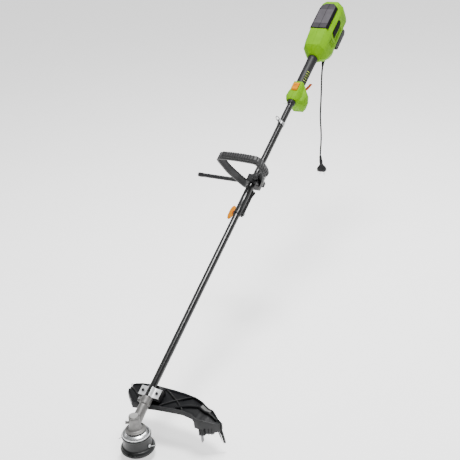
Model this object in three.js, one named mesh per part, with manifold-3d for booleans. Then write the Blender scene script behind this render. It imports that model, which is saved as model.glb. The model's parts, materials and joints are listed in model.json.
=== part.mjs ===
// Corded string trimmer standing on its cutting head, shaft leaning back at 60 degrees from upright.
// Frame: millimetres, +Z up along the spool axis, origin at the middle of the bump knob's flat foot.
// The shaft frame turns about Y: its +Z runs up the tube to the motor, its +X is the underside.
import * as THREE from 'three';
import { mergeVertices } from 'three/addons/utils/BufferGeometryUtils.js';
import Module from 'manifold-3d';

const wasm = await Module();
wasm.setup();

// ---- driving dimensions -------------------------------------------------------------------------
const GAP = 0.3;                 // running and fitting clearance
const HEAD_HEIGHT = 123.5;       // floor to the crossing of shaft axis and spool axis
const SHAFT_LEAN = 60;           // degrees between shaft axis and upright
const TUBE_R = 12, TUBE_BORE = 10.4;
const LOWER_TUBE = [52, 905], UPPER_TUBE = [908, 1460];
const COUPLING = [848, 976], KNOB_FROM_END = 9.5;
const HANDLE_AT = 1008, LOOP_OFFSET = 14;
const HOOK_AT = 1290;
const BRACKET = [99, 132], BRACKET_HALF = 39, BRACKET_SCREW = 27;
const BOLT_OUT = 23;             // bolt of the gear case collar, out from the shaft axis
const BUSH = { top: -53.8, along: 1696, turn: 140, mouth: 26 };
const GRIP = [1498.4, 1645.6], GRIP_R = 19.5, CORE_R = 16.4;
const WALL = 3;
const CORD_Y = -14, CORD_R = 3.2;
const FLANGE_R = 57.2, FLANGE_Z = 35, DRUM_R = 46.5, RIM_R = 49, CUP_R = 46;

// ---- helpers ------------------------------------------------------------------------------------
const V = (x, y, z) => new THREE.Vector3(x, y, z);
const rad = THREE.MathUtils.degToRad;

// turn a closed three.js geometry into a manifold solid
function solid(geometry) {
  const bare = geometry.clone();
  for (const key of Object.keys(bare.attributes)) if (key !== 'position') bare.deleteAttribute(key);
  const g = mergeVertices(bare, 1e-3);
  const tris = [];
  const ix = g.index.array;
  for (let i = 0; i < ix.length; i += 3) {
    const [a, b, c] = [ix[i], ix[i + 1], ix[i + 2]];
    if (a !== b && b !== c && a !== c) tris.push(a, b, c);
  }
  // a profile may run either way round: faces are turned to point outwards
  const at = (i) => new THREE.Vector3().fromBufferAttribute(g.attributes.position, i);
  let volume = 0;
  for (let i = 0; i < tris.length; i += 3) {
    volume += at(tris[i]).dot(at(tris[i + 1]).cross(at(tris[i + 2])));
  }
  if (volume < 0) tris.reverse();
  const mesh = new wasm.Mesh({
    numProp: 3, vertProperties: Float32Array.from(g.attributes.position.array),
    triVerts: Uint32Array.from(tris),
  });
  return new wasm.Manifold(mesh);
}

function geometryOf(body) {
  const m = body.getMesh();
  const g = new THREE.BufferGeometry();
  g.setAttribute('position', new THREE.BufferAttribute(Float32Array.from(m.vertProperties), 3));
  g.setIndex(Array.from(m.triVerts));
  g.computeVertexNormals();
  return g;
}

const box = (x0, x1, y0, y1, z0, z1) => solid(new THREE.BoxGeometry(x1 - x0, y1 - y0, z1 - z0)
  .translate((x0 + x1) / 2, (y0 + y1) / 2, (z0 + z1) / 2));

// straight round bar along Z, from a to b
const rod = (r, a, b, seg = 20, rTop = r) => solid(new THREE.CylinderGeometry(rTop, r, b - a, seg)
  .rotateX(Math.PI / 2).translate(0, 0, (a + b) / 2));
const pipe = (ro, ri, a, b, seg = 24) => rod(ro, a, b, seg).subtract(rod(ri, a - 1, b + 1, seg));

// profile of [radius, height] pairs turned about Z
const turned = (profile, seg = 28) => solid(new THREE.LatheGeometry(
  profile.map(([r, z]) => new THREE.Vector2(r, z)), seg).rotateX(Math.PI / 2));

// flat outline of [x, y] pairs drawn out along Z
function prism(outline, a, b) {
  const shape = new THREE.Shape(outline.map(([x, y]) => new THREE.Vector2(x, y)));
  return solid(new THREE.ExtrudeGeometry(shape, { depth: b - a, bevelEnabled: false }).translate(0, 0, a));
}

// outline given as [y, top] in the shaft's cross section, drawn out along the shaft
const section = (outline, a, b) => prism(outline.map(([y, top]) => [-top, y]), a, b);

// outline given as [along, top] in the shaft's side view, drawn out across it
function sideways(outline, y0, y1) {
  const flat = prism(outline, y0, y1);
  return flat.transform([0, 0, 1, 0, -1, 0, 0, 0, 0, 1, 0, 0, 0, 0, 0, 1]);
}

// skin a run of rings with the same point count; ends closed from the flat outline of each ring
function loft(rings, flatten) {
  const n = rings[0].length;
  const pos = rings.flat().flatMap((p) => [p.x, p.y, p.z]);
  const tris = [];
  for (let k = 0; k + 1 < rings.length; k++) {
    for (let i = 0; i < n; i++) {
      const a = k * n + i, b = k * n + (i + 1) % n;
      tris.push(a, b, a + n, b, b + n, a + n);
    }
  }
  const cap = (k, flip) => {
    const outline = rings[k].map(flatten);
    const reverse = THREE.ShapeUtils.isClockWise(outline);
    const order = [...outline.keys()];
    if (reverse) order.reverse();
    for (const f of THREE.ShapeUtils.triangulateShape(order.map((i) => outline[i]), [])) {
      const t = f.map((i) => k * n + order[i]);
      if (reverse !== flip) t.reverse();
      tris.push(...t);
    }
  };
  cap(0, true);
  cap(rings.length - 1, false);
  const g = new THREE.BufferGeometry();
  g.setAttribute('position', new THREE.BufferAttribute(Float32Array.from(pos), 3));
  g.setIndex(tris);
  return solid(g);
}

// round wire or moulded bar along a curve
function along(points, r, steps, closed = false, sides = 8) {
  const curve = new THREE.CatmullRomCurve3(points, closed, 'centripetal');
  const circle = new THREE.Shape();
  for (let i = 0; i <= sides; i++) {
    const a = i * 2 * Math.PI / sides;
    if (i) circle.lineTo(r * Math.cos(a), r * Math.sin(a)); else circle.moveTo(r, 0);
  }
  return solid(new THREE.ExtrudeGeometry(circle, { steps, extrudePath: curve, bevelEnabled: false }));
}

const matrixOf = (m) => [...m.elements];
const moved = (body, m) => body.transform(matrixOf(m));
const shift = (x, y, z) => new THREE.Matrix4().makeTranslation(x, y, z);
const turnX = (deg) => new THREE.Matrix4().makeRotationX(rad(deg));
const turnY = (deg) => new THREE.Matrix4().makeRotationY(rad(deg));
const turnZ = (deg) => new THREE.Matrix4().makeRotationZ(rad(deg));
const shaftToWorld = shift(0, 0, HEAD_HEIGHT).multiply(turnY(SHAFT_LEAN));
// place a bar made along Z so that it runs along +Y of the shaft, at a point on it
const acrossAt = (body, s, top) => moved(body, shift(-top, 0, s).multiply(turnX(-90)));

// ---- the assembly -------------------------------------------------------------------------------
const group = new THREE.Group();
const head = new THREE.Group();
const shaft = new THREE.Group();
shaft.applyMatrix4(shaftToWorld);
group.add(head, shaft);

const look = {
  lime: [0x86c60a, 0.38, 0], black: [0x1b1c1d, 0.5, 0], tube: [0x17181a, 0.3, 0.5],
  panel: [0x56545a, 0.45, 0], orange: [0xf39a17, 0.4, 0], alloy: [0x9c9c9a, 0.5, 0.8],
  steel: [0xc9cbcc, 0.28, 1], copper: [0xa8623a, 0.4, 1], line: [0xb9bcbd, 0.4, 0],
  rubber: [0x202122, 0.8, 0], iron: [0x4a4c50, 0.5, 0.9],
};

function add(parent, name, body, kind) {
  const [colour, roughness, metalness] = look[kind];
  const mesh = new THREE.Mesh(geometryOf(body),
    new THREE.MeshStandardMaterial({ color: colour, roughness, metalness }));
  mesh.name = name;
  parent.add(mesh);
}

// ---- cutting head -------------------------------------------------------------------------------
function makeHead() {
  // gear case: base plate, upright barrel with cap, and the sloping neck that holds the tube
  const barrel = turned([[0, 103], [34, 103], [34.5, 104.5], [33, 107], [24, 108], [21, 111], [19, 118],
    [18.2, 150], [17.2, 151], [17.2, 156], [16, 157.3], [0, 157.3]], 24);
  const neck = moved(rod(17.5, 8, 66, 24, 16).add(rod(15.6, 60, 72, 24)).add(rod(19.2, 70, 96, 28)),
    shaftToWorld);
  const ear = moved(box(-7, 7, 15, 28, 74, 91).subtract(box(-0.8, 0.8, 12, 31, 60, 97))
    .subtract(moved(rod(2.4, -12, 12, 16), shift(0, BOLT_OUT, 83).multiply(turnY(90)))), shaftToWorld);
  const plug = moved(rod(4.5, 14, 30, 12).add(rod(6.2, 26, 30.5, 6)),
    shift(0, 0, HEAD_HEIGHT + 5).multiply(turnZ(121)).multiply(turnY(83)));
  const chamber = rod(14.9, 109, 146, 24).add(rod(5.4, 90, 120, 16));
  const bore = moved(rod(11.4, 9, 51, 24).add(rod(TUBE_R + GAP, 50, 110, 24)), shaftToWorld);
  const slot = moved(box(-0.8, 0.8, 11, 21, 66, 97), shaftToWorld);
  add(head, 'gear_case', barrel.add(neck).add(ear).add(plug).subtract(chamber).subtract(bore)
    .subtract(slot), 'alloy');
  const bolt = rod(2.1, -7.4, 9, 16).add(rod(4, 7.3, 11, 6));
  add(head, 'gear_clamp_bolt', moved(bolt, shaftToWorld.clone().multiply(shift(0, BOLT_OUT, 83))
    .multiply(turnY(-90))), 'steel');

  // bevel pair: toothed rings with a hub, clear of each other by the running gap
  const bevel = (teeth, r0, r1, z0, z1, bore0) => {
    const ring = (r, z) => Array.from({ length: teeth * 4 }, (_, i) => {
      const deep = i % 4 < 2 ? 1 : 0.86;
      const a = (i + 0.5) * Math.PI / (teeth * 2);
      return V(r * deep * Math.cos(a), r * deep * Math.sin(a), z);
    });
    return loft([ring(r0, z0), ring(r1, z1)], (p) => new THREE.Vector2(p.x, p.y))
      .subtract(rod(bore0, z0 - 1, z1 + 1, 20));
  };
  add(head, 'pinion_gear', moved(bevel(11, 7.4, 10.6, 8.4, 13.5, 3.3), shaftToWorld), 'iron');
  add(head, 'bevel_gear', bevel(15, 14.2, 12.6, 114.4, 120.5, 5.35), 'iron');
  add(head, 'output_shaft', rod(5, 31, 119, 20).add(rod(8, 87.2, 96.8, 6)), 'steel');

  // silver dust cup: a shallow dish over the spool
  add(head, 'dust_cup', turned([[5.35, 99.2], [33, 99.2], [37, 98], [43.5, 94], [CUP_R, 91],
    [CUP_R + 0.4, 88.6], [CUP_R + 0.4, 87.2], [CUP_R - 1.6, 87.2], [CUP_R - 2, 90.4], [42, 92.4],
    [36.4, 96.2], [32, 97.2], [5.35, 97.2], [5.35, 99.2]], 26), 'steel');

  // spool housing: drum with a top rim, flared skirt and open foot
  const shell = turned([[5.35, 86.8], [RIM_R - 1, 86.8], [RIM_R, 81], [DRUM_R + 0.6, 79],
    [DRUM_R, 60], [DRUM_R + 1, 46], [FLANGE_R - 0.8, 37.5], [FLANGE_R, FLANGE_Z],
    [FLANGE_R, 30], [49, 21], [28.4, 16], [28.4, 20], [52, 31],
    [43.4, 46], [43.4, 83], [5.35, 83], [5.35, 86.8]], 28);
  const eye = (a) => moved(rod(3.2, 40, 60, 12), shift(0, 0, 52).multiply(turnZ(a)).multiply(turnY(90)));
  add(head, 'spool_housing', shell.subtract(eye(-92)).subtract(eye(88)), 'black');
  add(head, 'line_spool', turned([[5.35, 81], [38, 81], [38, 78.5], [16, 78.5], [16, 47], [38, 47],
    [38, 44.5], [5.35, 44.5], [5.35, 81]], 24), 'black');
  add(head, 'bump_knob', turned([[0, 0], [17, 0], [23, 2], [26.5, 7], [27.4, 14], [27.4, 30],
    [8, 36.8], [5.35, 36.8], [5.35, 24], [0, 24], [0, 0]], 24), 'black');
  for (const [name, a] of [['front', -92], ['rear', 88]]) {
    const out = shift(0, 0, 52).multiply(turnZ(a)).multiply(turnY(90));
    add(head, `eyelet_${name}`, moved(turned([[1.7, 43.8], [2.8, 43.8], [2.8, 48.4], [5, 48.4],
      [4.8, 50.2], [2.6, 50.5], [1.7, 49.4], [1.7, 43.8]], 12), out), 'steel');
  }
  const curl = (a, list) => list.map(([r, da, z]) => V(r * Math.cos(rad(a + da)),
    r * Math.sin(rad(a + da)), z));
  add(head, 'line_end_front', along(curl(-92, [[41, 0, 52], [50, 0, 52], [58, 5, 52.3], [68, 12, 51.5]]),
    1.2, 9, false, 6), 'line');
  add(head, 'line_end_rear', along(curl(88, [[41, 0, 52], [50, 0, 52], [58, 5, 52.3], [68, 12, 51.5]]),
    1.2, 9, false, 6), 'line');
}

// ---- guard --------------------------------------------------------------------------------------
// stations across the machine: y, front x, rear x, plate height, front lip drop, rear lip drop
const GUARD = [
  [112, 130, 154, 145, 16, 12], [103, 112, 161, 147, 20, 13], [82, 92, 170, 148, 20, 12],
  [52, 64, 176, 148, 18, 12], [28, 66, 178, 148, 15, 12], [-34, 79, 180, 148, 14, 10],
  [-86, 87, 179, 148, 14, 10], [-126, 93, 175, 147, 14, 12], [-160, 92, 166, 143, 14, 16],
  [-171, 86, 160, 141, 14, 18], [-173, 85, 159, 141, 37, 18], [-188, 84, 153, 138, 34, 22],
  [-190, 84, 152, 138, 58, 22], [-206, 88, 150, 136, 53, 25], [-209, 89, 149, 135, 47, 26],
  [-234, 101, 132, 125, 39, 26], [-237, 103, 130, 124, 32, 26], [-250, 117, 126, 118, 27, 22],
];

function guardPoint(p, t, lift) {
  const k = Math.min(Math.floor(p), GUARD.length - 2), f = p - k;
  const [y, xf, xr, z] = GUARD[k].map((v, i) => v + (GUARD[k + 1][i] - v) * f);
  return V(xf + (xr - xf) * t, y, z + 4 * Math.sin(Math.PI * t) + lift);
}

function makeGuard() {
  const across = [0, 0.1, 0.35, 0.65, 0.9, 1];
  const thick = 3.2;
  const rings = GUARD.map(([y, xf, xr, z, front, rear]) => {
    const top = across.map((t) => V(xf + (xr - xf) * t, y, z + 4 * Math.sin(Math.PI * t)));
    const under = across.map((t, i) => {
      const q = top[i].clone();
      q.z -= thick;
      if (i === 0) q.x += thick;
      if (i === across.length - 1) q.x -= thick;
      return q;
    }).reverse();
    return [V(xf - 1.5, y, z - front), ...top, V(xr + 1.5, y, z - rear),
      V(xr - thick + 1.5, y, z - rear), ...under, V(xf + thick - 1.5, y, z - front)];
  });
  let body = loft(rings, (p) => new THREE.Vector2(p.x, p.z));
  // raised crossing ribs on the plate
  const rib = (p0, t0, p1, t1, half = 2.4, high = 3.2) => {
    const n = 6;
    const run = Array.from({ length: n }, (_, i) => {
      const f = i / (n - 1);
      return guardPoint(p0 + (p1 - p0) * f, t0 + (t1 - t0) * f, 0);
    });
    return loft(run.map((q, i) => {
      const d = run[Math.min(i + 1, n - 1)].clone().sub(run[Math.max(i - 1, 0)]);
      const side = V(-d.y, d.x, 0).normalize().multiplyScalar(half);
      const lo = V(0, 0, -1.6), hi = V(0, 0, high);
      const inset = side.clone().multiplyScalar(0.55);
      return [q.clone().sub(side).add(lo), q.clone().add(side).add(lo),
        q.clone().add(inset).add(hi), q.clone().sub(inset).add(hi)];
    }), (q) => new THREE.Vector2(Math.hypot(q.x, q.y) * Math.sign(q.x + q.y), q.z));
  };
  body = body.add(rib(5.1, 0.12, 6.8, 0.94)).add(rib(4.7, 0.85, 6.9, 0.1))
    .add(rib(6.2, 0.1, 8.2, 0.62, 3.2, 4)).add(rib(8.2, 0.62, 15.6, 0.6, 3.2, 4))
    .add(rib(6.8, 0.94, 13, 0.9, 2.6, 3)).add(rib(0.8, 0.5, 3.4, 0.3));
  // end wall, prong and the stepped teeth of the line guard
  const end = GUARD[GUARD.length - 1];
  body = body.add(box(end[1] + 0.5, end[2] - 0.5, end[0] + 0.2, end[0] + 3.4, end[3] - 22, end[3] + 1));
  const prong = loft([[121, -246, 116, 8], [123, -249, 90, 7], [126, -253, 62, 6], [128, -256, 38, 5]]
    .map(([x, y, z, w]) => [V(x - w / 2, y - 2, z), V(x + w / 2, y - 2, z), V(x + w / 2, y + 2, z),
      V(x - w / 2, y + 2, z)]), (q) => new THREE.Vector2(q.x, q.y));
  body = body.add(prong);
  // saddle block up to the bracket, cut to its sloping underside
  const saddle = box(98, 142, -30, 30, 146, 200)
    .subtract(moved(box(-60, 22.3, -60, 60, 40, 220), shaftToWorld));
  body = body.add(saddle);
  // clearance round the neck of the gear case and blind holes for the two screws
  body = body.subtract(moved(rod(21.5, 30, 110, 24).add(box(-12, 12, 0, 32, 60, 97)), shaftToWorld));
  for (const y of [-BRACKET_SCREW, BRACKET_SCREW]) {
    body = body.subtract(moved(rod(2.6, -3, 36, 14), shaftToWorld.clone().multiply(
      shift(0, y, 115.5)).multiply(turnY(90))));
  }
  add(head, 'guard', body, 'black');
  const blade = box(90, 91.6, -197, -190.6, 46, 128).subtract(moved(rod(1.6, -9, 9, 10),
    shift(91, -194, 120).multiply(turnY(90))));
  add(head, 'line_cutter', blade, 'steel');
}

makeHead();
makeGuard();

// ---- shaft --------------------------------------------------------------------------------------
function makeTubes() {
  add(shaft, 'lower_tube', pipe(TUBE_R, TUBE_BORE, ...LOWER_TUBE), 'tube');
  add(shaft, 'upper_tube', pipe(TUBE_R, TUBE_BORE, ...UPPER_TUBE), 'tube');
  add(shaft, 'lower_drive_shaft', rod(3, 8.8, 903, 16).add(rod(5, 14, 46, 16)).add(rod(6, 880, 905.5, 6)),
    'steel');
  add(shaft, 'upper_drive_shaft', rod(3, 907, 1696, 16).add(rod(6, 906.5, 930, 6)), 'steel');
}

function makeBracket() {
  const [a, b] = BRACKET;
  const arc = (r, from, to, n) => Array.from({ length: n + 1 }, (_, i) => {
    const t = rad(from + (to - from) * i / n);
    return [r * Math.cos(t), r * Math.sin(t)];
  });
  const ro = TUBE_R + GAP + 2.6, ri = TUBE_R + GAP;
  const top = section([[BRACKET_HALF, 0.2], [BRACKET_HALF, 2.8], [ro + 1, 2.8], ...arc(ro, 14, 166, 12),
    [-ro - 1, 2.8], [-BRACKET_HALF, 2.8], [-BRACKET_HALF, 0.2], [-ri, 0.2], ...arc(ri, 175, 5, 12),
    [ri, 0.2]], a, b);
  const base = box(0.1, 22, -BRACKET_HALF - 0.5, BRACKET_HALF + 0.5, a - 2, b + 2)
    .subtract(rod(ri, a - 5, b + 5));
  let topCut = top, baseCut = base;
  for (const y of [-BRACKET_SCREW, BRACKET_SCREW]) {
    const hole = moved(rod(2.6, -8, 30, 14), shift(0, y, 115.5).multiply(turnY(90)));
    topCut = topCut.subtract(hole);
    baseCut = baseCut.subtract(hole);
  }
  add(shaft, 'guard_bracket_top', topCut, 'steel');
  add(shaft, 'guard_bracket_base', baseCut, 'black');
  for (const [side, y] of [['left', BRACKET_SCREW], ['right', -BRACKET_SCREW]]) {
    const screw = rod(2.2, -3.2, 33, 14).add(rod(4.8, -6.8, -3.1, 20))
      .subtract(rod(2.4, -7.5, -4.6, 6));
    add(shaft, `guard_screw_${side}`, moved(screw, shift(0, y, 115.5).multiply(turnY(90))), 'iron');
  }
}

function makeCoupling() {
  const [a, b] = COUPLING;
  let sleeve = rod(15.6, a, b, 24).add(rod(16.6, a, a + 8, 24)).add(rod(16.6, b - 8, b, 24));
  // raised spine under the lever, pivot lugs, and the threaded boss on the left
  const spine = box(10, 18.4, -5.5, 5.5, a + 4, b - 6);
  const lugs = box(14, 25, -8.6, 8.6, a + 6, a + 18).subtract(box(18.4, 26, -5.6, 5.6, a + 3, a + 21));
  const pin = moved(rod(2.3, -12, 12, 14), shift(21.6, 0, a + 12).multiply(turnX(90)));
  sleeve = sleeve.add(moved(spine.add(lugs).subtract(pin), turnZ(-45)));
  sleeve = sleeve.add(acrossAt(rod(8.5, 10, 17, 24), a + KNOB_FROM_END, -4));
  sleeve = sleeve.subtract(rod(TUBE_R + GAP, a - 1, b + 1, 24))
    .subtract(acrossAt(rod(3.2, 5, 24, 16), a + KNOB_FROM_END, -4));
  add(shaft, 'coupling_sleeve', sleeve, 'black');
  // long release lever with a thumb bump at its upper end
  const lever = sideways([[a + 9, -20], [a + 13, -18.8], [b - 18, -18.8], [b - 8, -19], [b - 8, -24],
    [b - 14, -27.5], [b - 24, -25.5], [b - 34, -23.4], [a + 26, -23.4], [a + 16, -24.6],
    [a + 9, -23.6]], -5.2, 5.2);
  const axle = moved(rod(2, -8.4, 8.4, 14), shift(21.6, 0, a + 12).multiply(turnX(90)));
  add(shaft, 'coupling_lever', moved(lever.add(axle), turnZ(-45)), 'black');
  // wing knob on its screw: a blade standing along the tube
  const wing = new THREE.Shape();
  wing.absellipse(0, 26.3, 30, 6.5, 0, 2 * Math.PI);
  const blade = solid(new THREE.ExtrudeGeometry(wing, { depth: 4, bevelEnabled: true, bevelSize: 1.5,
    bevelThickness: 1.5, bevelSegments: 1, curveSegments: 12 }).translate(0, 0, -2)
    .rotateX(Math.PI / 2).rotateZ(Math.PI / 2));
  const knob = rod(8.4, 17.4, 24, 24).add(blade).add(rod(2.9, 12.6, 22, 16));
  add(shaft, 'coupling_knob', acrossAt(knob, a + KNOB_FROM_END, -4), 'orange');
}

function makeHarnessHook() {
  const lug = (y) => box(-28, -12, y, y + 2.4, HOOK_AT - 6, HOOK_AT + 6);
  const hole = acrossAt(rod(2.1, -12, 12, 14), HOOK_AT, 23);
  const band = rod(14.6, HOOK_AT - 7.5, HOOK_AT + 7.5, 24).add(lug(2.3)).add(lug(-4.7))
    .subtract(rod(TUBE_R + GAP, HOOK_AT - 10, HOOK_AT + 10, 24)).subtract(hole);
  add(shaft, 'harness_clamp', band, 'steel');
  add(shaft, 'harness_screw', acrossAt(rod(1.8, -7.6, 7.6, 14).add(rod(3.6, 4.9, 7.8, 6))
    .add(rod(3.6, -7.8, -4.9, 20)), HOOK_AT, 23), 'steel');
  const ring = Array.from({ length: 16 }, (_, i) => {
    const t = i * Math.PI / 8;
    const c = Math.cos(t);
    return V(-(36.4 + 17.9 * c), 0, HOOK_AT + 7.6 * Math.sin(t) - 5 * (c + 1));
  });
  add(shaft, 'harness_ring', along(ring, 1.5, 20, true, 6), 'steel');
}

function makeHandle() {
  const s = HANDLE_AT;
  const half = 13;
  // closed band of the loop in the plane across the shaft: [y, top]
  const outline = [[18, -37], [36, -29], [50, -7], [73, 40], [84, 78], [90, 108], [91, 120], [85, 131],
    [72, 136]];
  const band = (grow) => {
    const pts = outline.map(([y, u], i) => {
      const p = outline[Math.max(i - 1, 0)], q = outline[Math.min(i + 1, outline.length - 1)];
      const d = Math.hypot(q[0] - p[0], q[1] - p[1]);
      return [y - grow * (u === 136 ? 0 : (q[1] - p[1]) / d), u + grow * (q[0] - p[0]) / d];
    });
    return [...pts.map(([y, u]) => [-y, u]).reverse(), ...pts].reverse();
  };
  const ringShape = (outer, inner, a, b) => section(band(outer), a, b)
    .subtract(section(band(inner), a - 1, b + 1));
  const loop = ringShape(0, 8.5, s - half, s + half);
  const foot = box(28.2, 40, -24, 24, s - half, s + half);
  add(shaft, 'loop_handle', moved(loop, shift(0, LOOP_OFFSET, 0)).add(foot), 'black');
  // rubber sleeve over the top bar, with cross ribs
  const bar = (y0, y1, r) => {
    const round = Array.from({ length: 12 }, (_, i) => {
      const t = (i + 0.5) * Math.PI / 6;
      return [s + (r + 1.5) * Math.cos(t), 131.8 + (r - 3) * Math.sin(t)];
    });
    return sideways(round, y0, y1);
  };
  let grip = bar(-70, 70, 15);
  for (let i = -4; i <= 4; i++) grip = grip.add(bar(i * 16 - 3, i * 16 + 3, 16));
  grip = grip.subtract(box(-136.4, -127.1, -90, 90, s - half - GAP, s + half + GAP));
  add(shaft, 'handle_grip', moved(grip, shift(0, LOOP_OFFSET, 0)), 'rubber');
  // clamp round the tube: upper half with knob, lower half carrying loop and barrier bar
  const channel = rod(TUBE_R + GAP, s - 40, s + 40, 24);
  const loopRoom = moved(ringShape(-GAP, 8.5 + GAP, s - half - GAP, s + half + GAP),
    shift(0, LOOP_OFFSET, 0));
  const stud = shift(0, -20, s).multiply(turnY(-90));
  const top = box(-21, -0.2, -30, 20, s - 17, s + 17).add(moved(rod(9, 20, 25, 24), stud))
    .subtract(channel).subtract(moved(rod(3.3, -10, 40, 16), stud)).subtract(loopRoom);
  const base = box(0.2, 27.9, -26.6, 20, s - 17, s + 34)
    .add(box(20, 60, -20, 20, s + 14.5, s + 36))
    .subtract(channel).subtract(moved(rod(3.3, -8.5, 10, 16), stud)).subtract(loopRoom);
  const barAxis = (r, y0, y1) => moved(rod(r, y0, y1, 20), shift(46, 0, s + 24.5).multiply(turnX(-90)));
  add(shaft, 'handle_clamp_top', top, 'black');
  add(shaft, 'handle_clamp_base', base.subtract(barAxis(8 + GAP, -20, 300)), 'black');
  add(shaft, 'barrier_bar', barAxis(8, -19.6, 268).add(barAxis(8.8, 250, 270)), 'black');
  const lobes = Array.from({ length: 24 }, (_, i) => {
    const t = i * Math.PI / 12;
    const r = 12.8 + 1.2 * Math.cos(6 * t);
    return [r * Math.cos(t), r * Math.sin(t)];
  });
  const knob = prism(lobes, 25.4, 37).add(rod(9, 37, 39.5, 24)).add(rod(3, -7, 26, 16));
  add(shaft, 'handle_knob', moved(knob, stud), 'black');
}

// ---- motor and switch housings: lofted octagons, [along, topHalf, top, side, hi, lo, botHalf, bottom]
const octagon = ([s, th, top, side, hi, lo, bh, bottom], wall = 0) => [
  [th - wall * 0.5, top - wall], [side - wall, hi], [side - wall, lo], [bh - wall * 0.5, bottom + wall],
  [-bh + wall * 0.5, bottom + wall], [-side + wall, lo], [-side + wall, hi],
  [-th + wall * 0.5, top - wall]].map(([y, u]) => V(-u, y, s));
const hull = (stations, wall = 0) => loft(stations.map((st) => octagon(st, wall)),
  (p) => new THREE.Vector2(p.x, p.y));

const MOTOR = [
  [1646, 12, 26, 24, 10, -9, 12, -21], [1673, 30, 54, 46, 24, -22, 28, -41],
  [1712, 33, 60, 50, 31, -32, 30, -64], [1746, 34, 64, 50, 34, -34, 29, -77],
  [1786, 34, 64, 50, 34, -30, 28, -71], [1896, 34, 64, 50, 34, -30, 28, -65],
  [1918, 26, 57, 42, 28, -26, 24, -54], [1936, 16, 38, 27, 18, -18, 16, -34],
];
const REAR = MOTOR[5];
const SWITCH = [
  [1408, 12, 18, 20, 7, -8, 12, -19], [1424, 16, 21, 34, -9, -36, 20, -71],
  [1446, 18, 22, 42, -9, -42, 22, -78], [1470, 19, 22, 37, -5, -32, 20, -62],
  [1488, 19, 21.6, 24, 3, -18, 14, -45], [1498, 18.5, 21, 21, 6, -12, 11, -40],
];

const bushPlace = shift(-BUSH.top, CORD_Y, BUSH.along).multiply(turnY(BUSH.turn));

function makeMotorHousing() {
  const inner = MOTOR.map((st, i) => (i === 0 ? [1649, ...st.slice(1)]
    : i === MOTOR.length - 1 ? [1932.5, ...st.slice(1)] : st));
  let shell = hull(MOTOR).subtract(hull(inner, WALL)).subtract(rod(CORE_R + GAP, 1630, 1665, 24));
  // inner webs that carry the motor and its bearings
  const web = (z0, z1, ri) => hull([[z0, ...REAR.slice(1)], [z1, ...REAR.slice(1)]], WALL - 0.6)
    .subtract(rod(ri, z0 - 2, z1 + 2, 24));
  shell = shell.add(web(1754, 1758, 38.4)).add(web(1806, 1810, 38.4)).add(web(1882, 1892, 14.3));
  // cord bush hole in the floor
  shell = shell.subtract(moved(rod(6.5, -30, 40, 18), bushPlace));
  // vents: slanted slots under the badge and a small grid ahead of it, on both sides
  for (const side of [-1, 1]) {
    for (let i = 0; i < 8; i++) {
      shell = shell.subtract(sideways([[1766 + i * 10, -10], [1769 + i * 10, -10],
        [1764 + i * 10, -25], [1761 + i * 10, -25]], side > 0 ? 44 : -56, side > 0 ? 56 : -44));
    }
    for (let i = 0; i < 3; i++) {
      for (let j = 0; j < 4; j++) {
        const s0 = 1716 + i * 12 + j * 2, u0 = 22 - j * 10;
        shell = shell.subtract(sideways([[s0, u0], [s0 + 7, u0], [s0 + 5, u0 - 5], [s0 - 2, u0 - 5]],
          side > 0 ? 42 : -56, side > 0 ? 56 : -42));
      }
    }
  }
  add(shaft, 'motor_housing_left', shell.intersect(box(-90, 90, 0.12, 70, 1600, 2000)), 'lime');
  add(shaft, 'motor_housing_right', shell.intersect(box(-90, 90, -70, -0.12, 1600, 2000)), 'lime');

  // top cover: saddle plate over the roof and its two slopes, cut back at the rear corners
  const saddle = section([[-38.6, 57.6], [-41.3, 59.2], [-34, 68.4], [34, 68.4], [41.3, 59.2],
    [38.6, 57.6], [34.2, 64.3], [-34.2, 64.3]], 1754, 1895);
  const corner = (k) => moved(box(-90, -40, 0, 80, 0, 60), shift(0, k * 18, 1895)
    .multiply(new THREE.Matrix4().makeScale(1, k, 1)).multiply(turnX(-42)));
  const groove = box(-72, -67.4, -0.9, 0.9, 1753, 1904)
    .add(box(-72, -67.8, -26, 26, 1790, 1862));
  add(shaft, 'top_cover', saddle.subtract(corner(1)).subtract(corner(-1)).subtract(groove), 'panel');

  const badge = [[1762, 2], [1828, 2], [1848, 13], [1839, 31], [1766, 31]];
  add(shaft, 'badge_right', sideways(badge, -52.2, -50.3), 'black');
  add(shaft, 'badge_left', sideways(badge, 50.3, 52.2), 'black');
  add(shaft, 'rear_foot', sideways([[1794, -71], [1788, -86], [1796, -94], [1884, -93], [1896, -83],
    [1890, -65.8]], -26, 26), 'black');

  // cord bush: collar inside the floor, tapered ribbed sleeve outside, bored for the cord
  const bush = turned([[3.6, -9], [6.1, -9], [6.1, 5.2], [7.8, 6], [7.8, 8.4], [6.2, 9.4],
    [5.2, BUSH.mouth], [3.6, BUSH.mouth], [3.6, -9]], 14);
  add(shaft, 'cord_bush', moved(bush, bushPlace), 'rubber');
}

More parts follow.
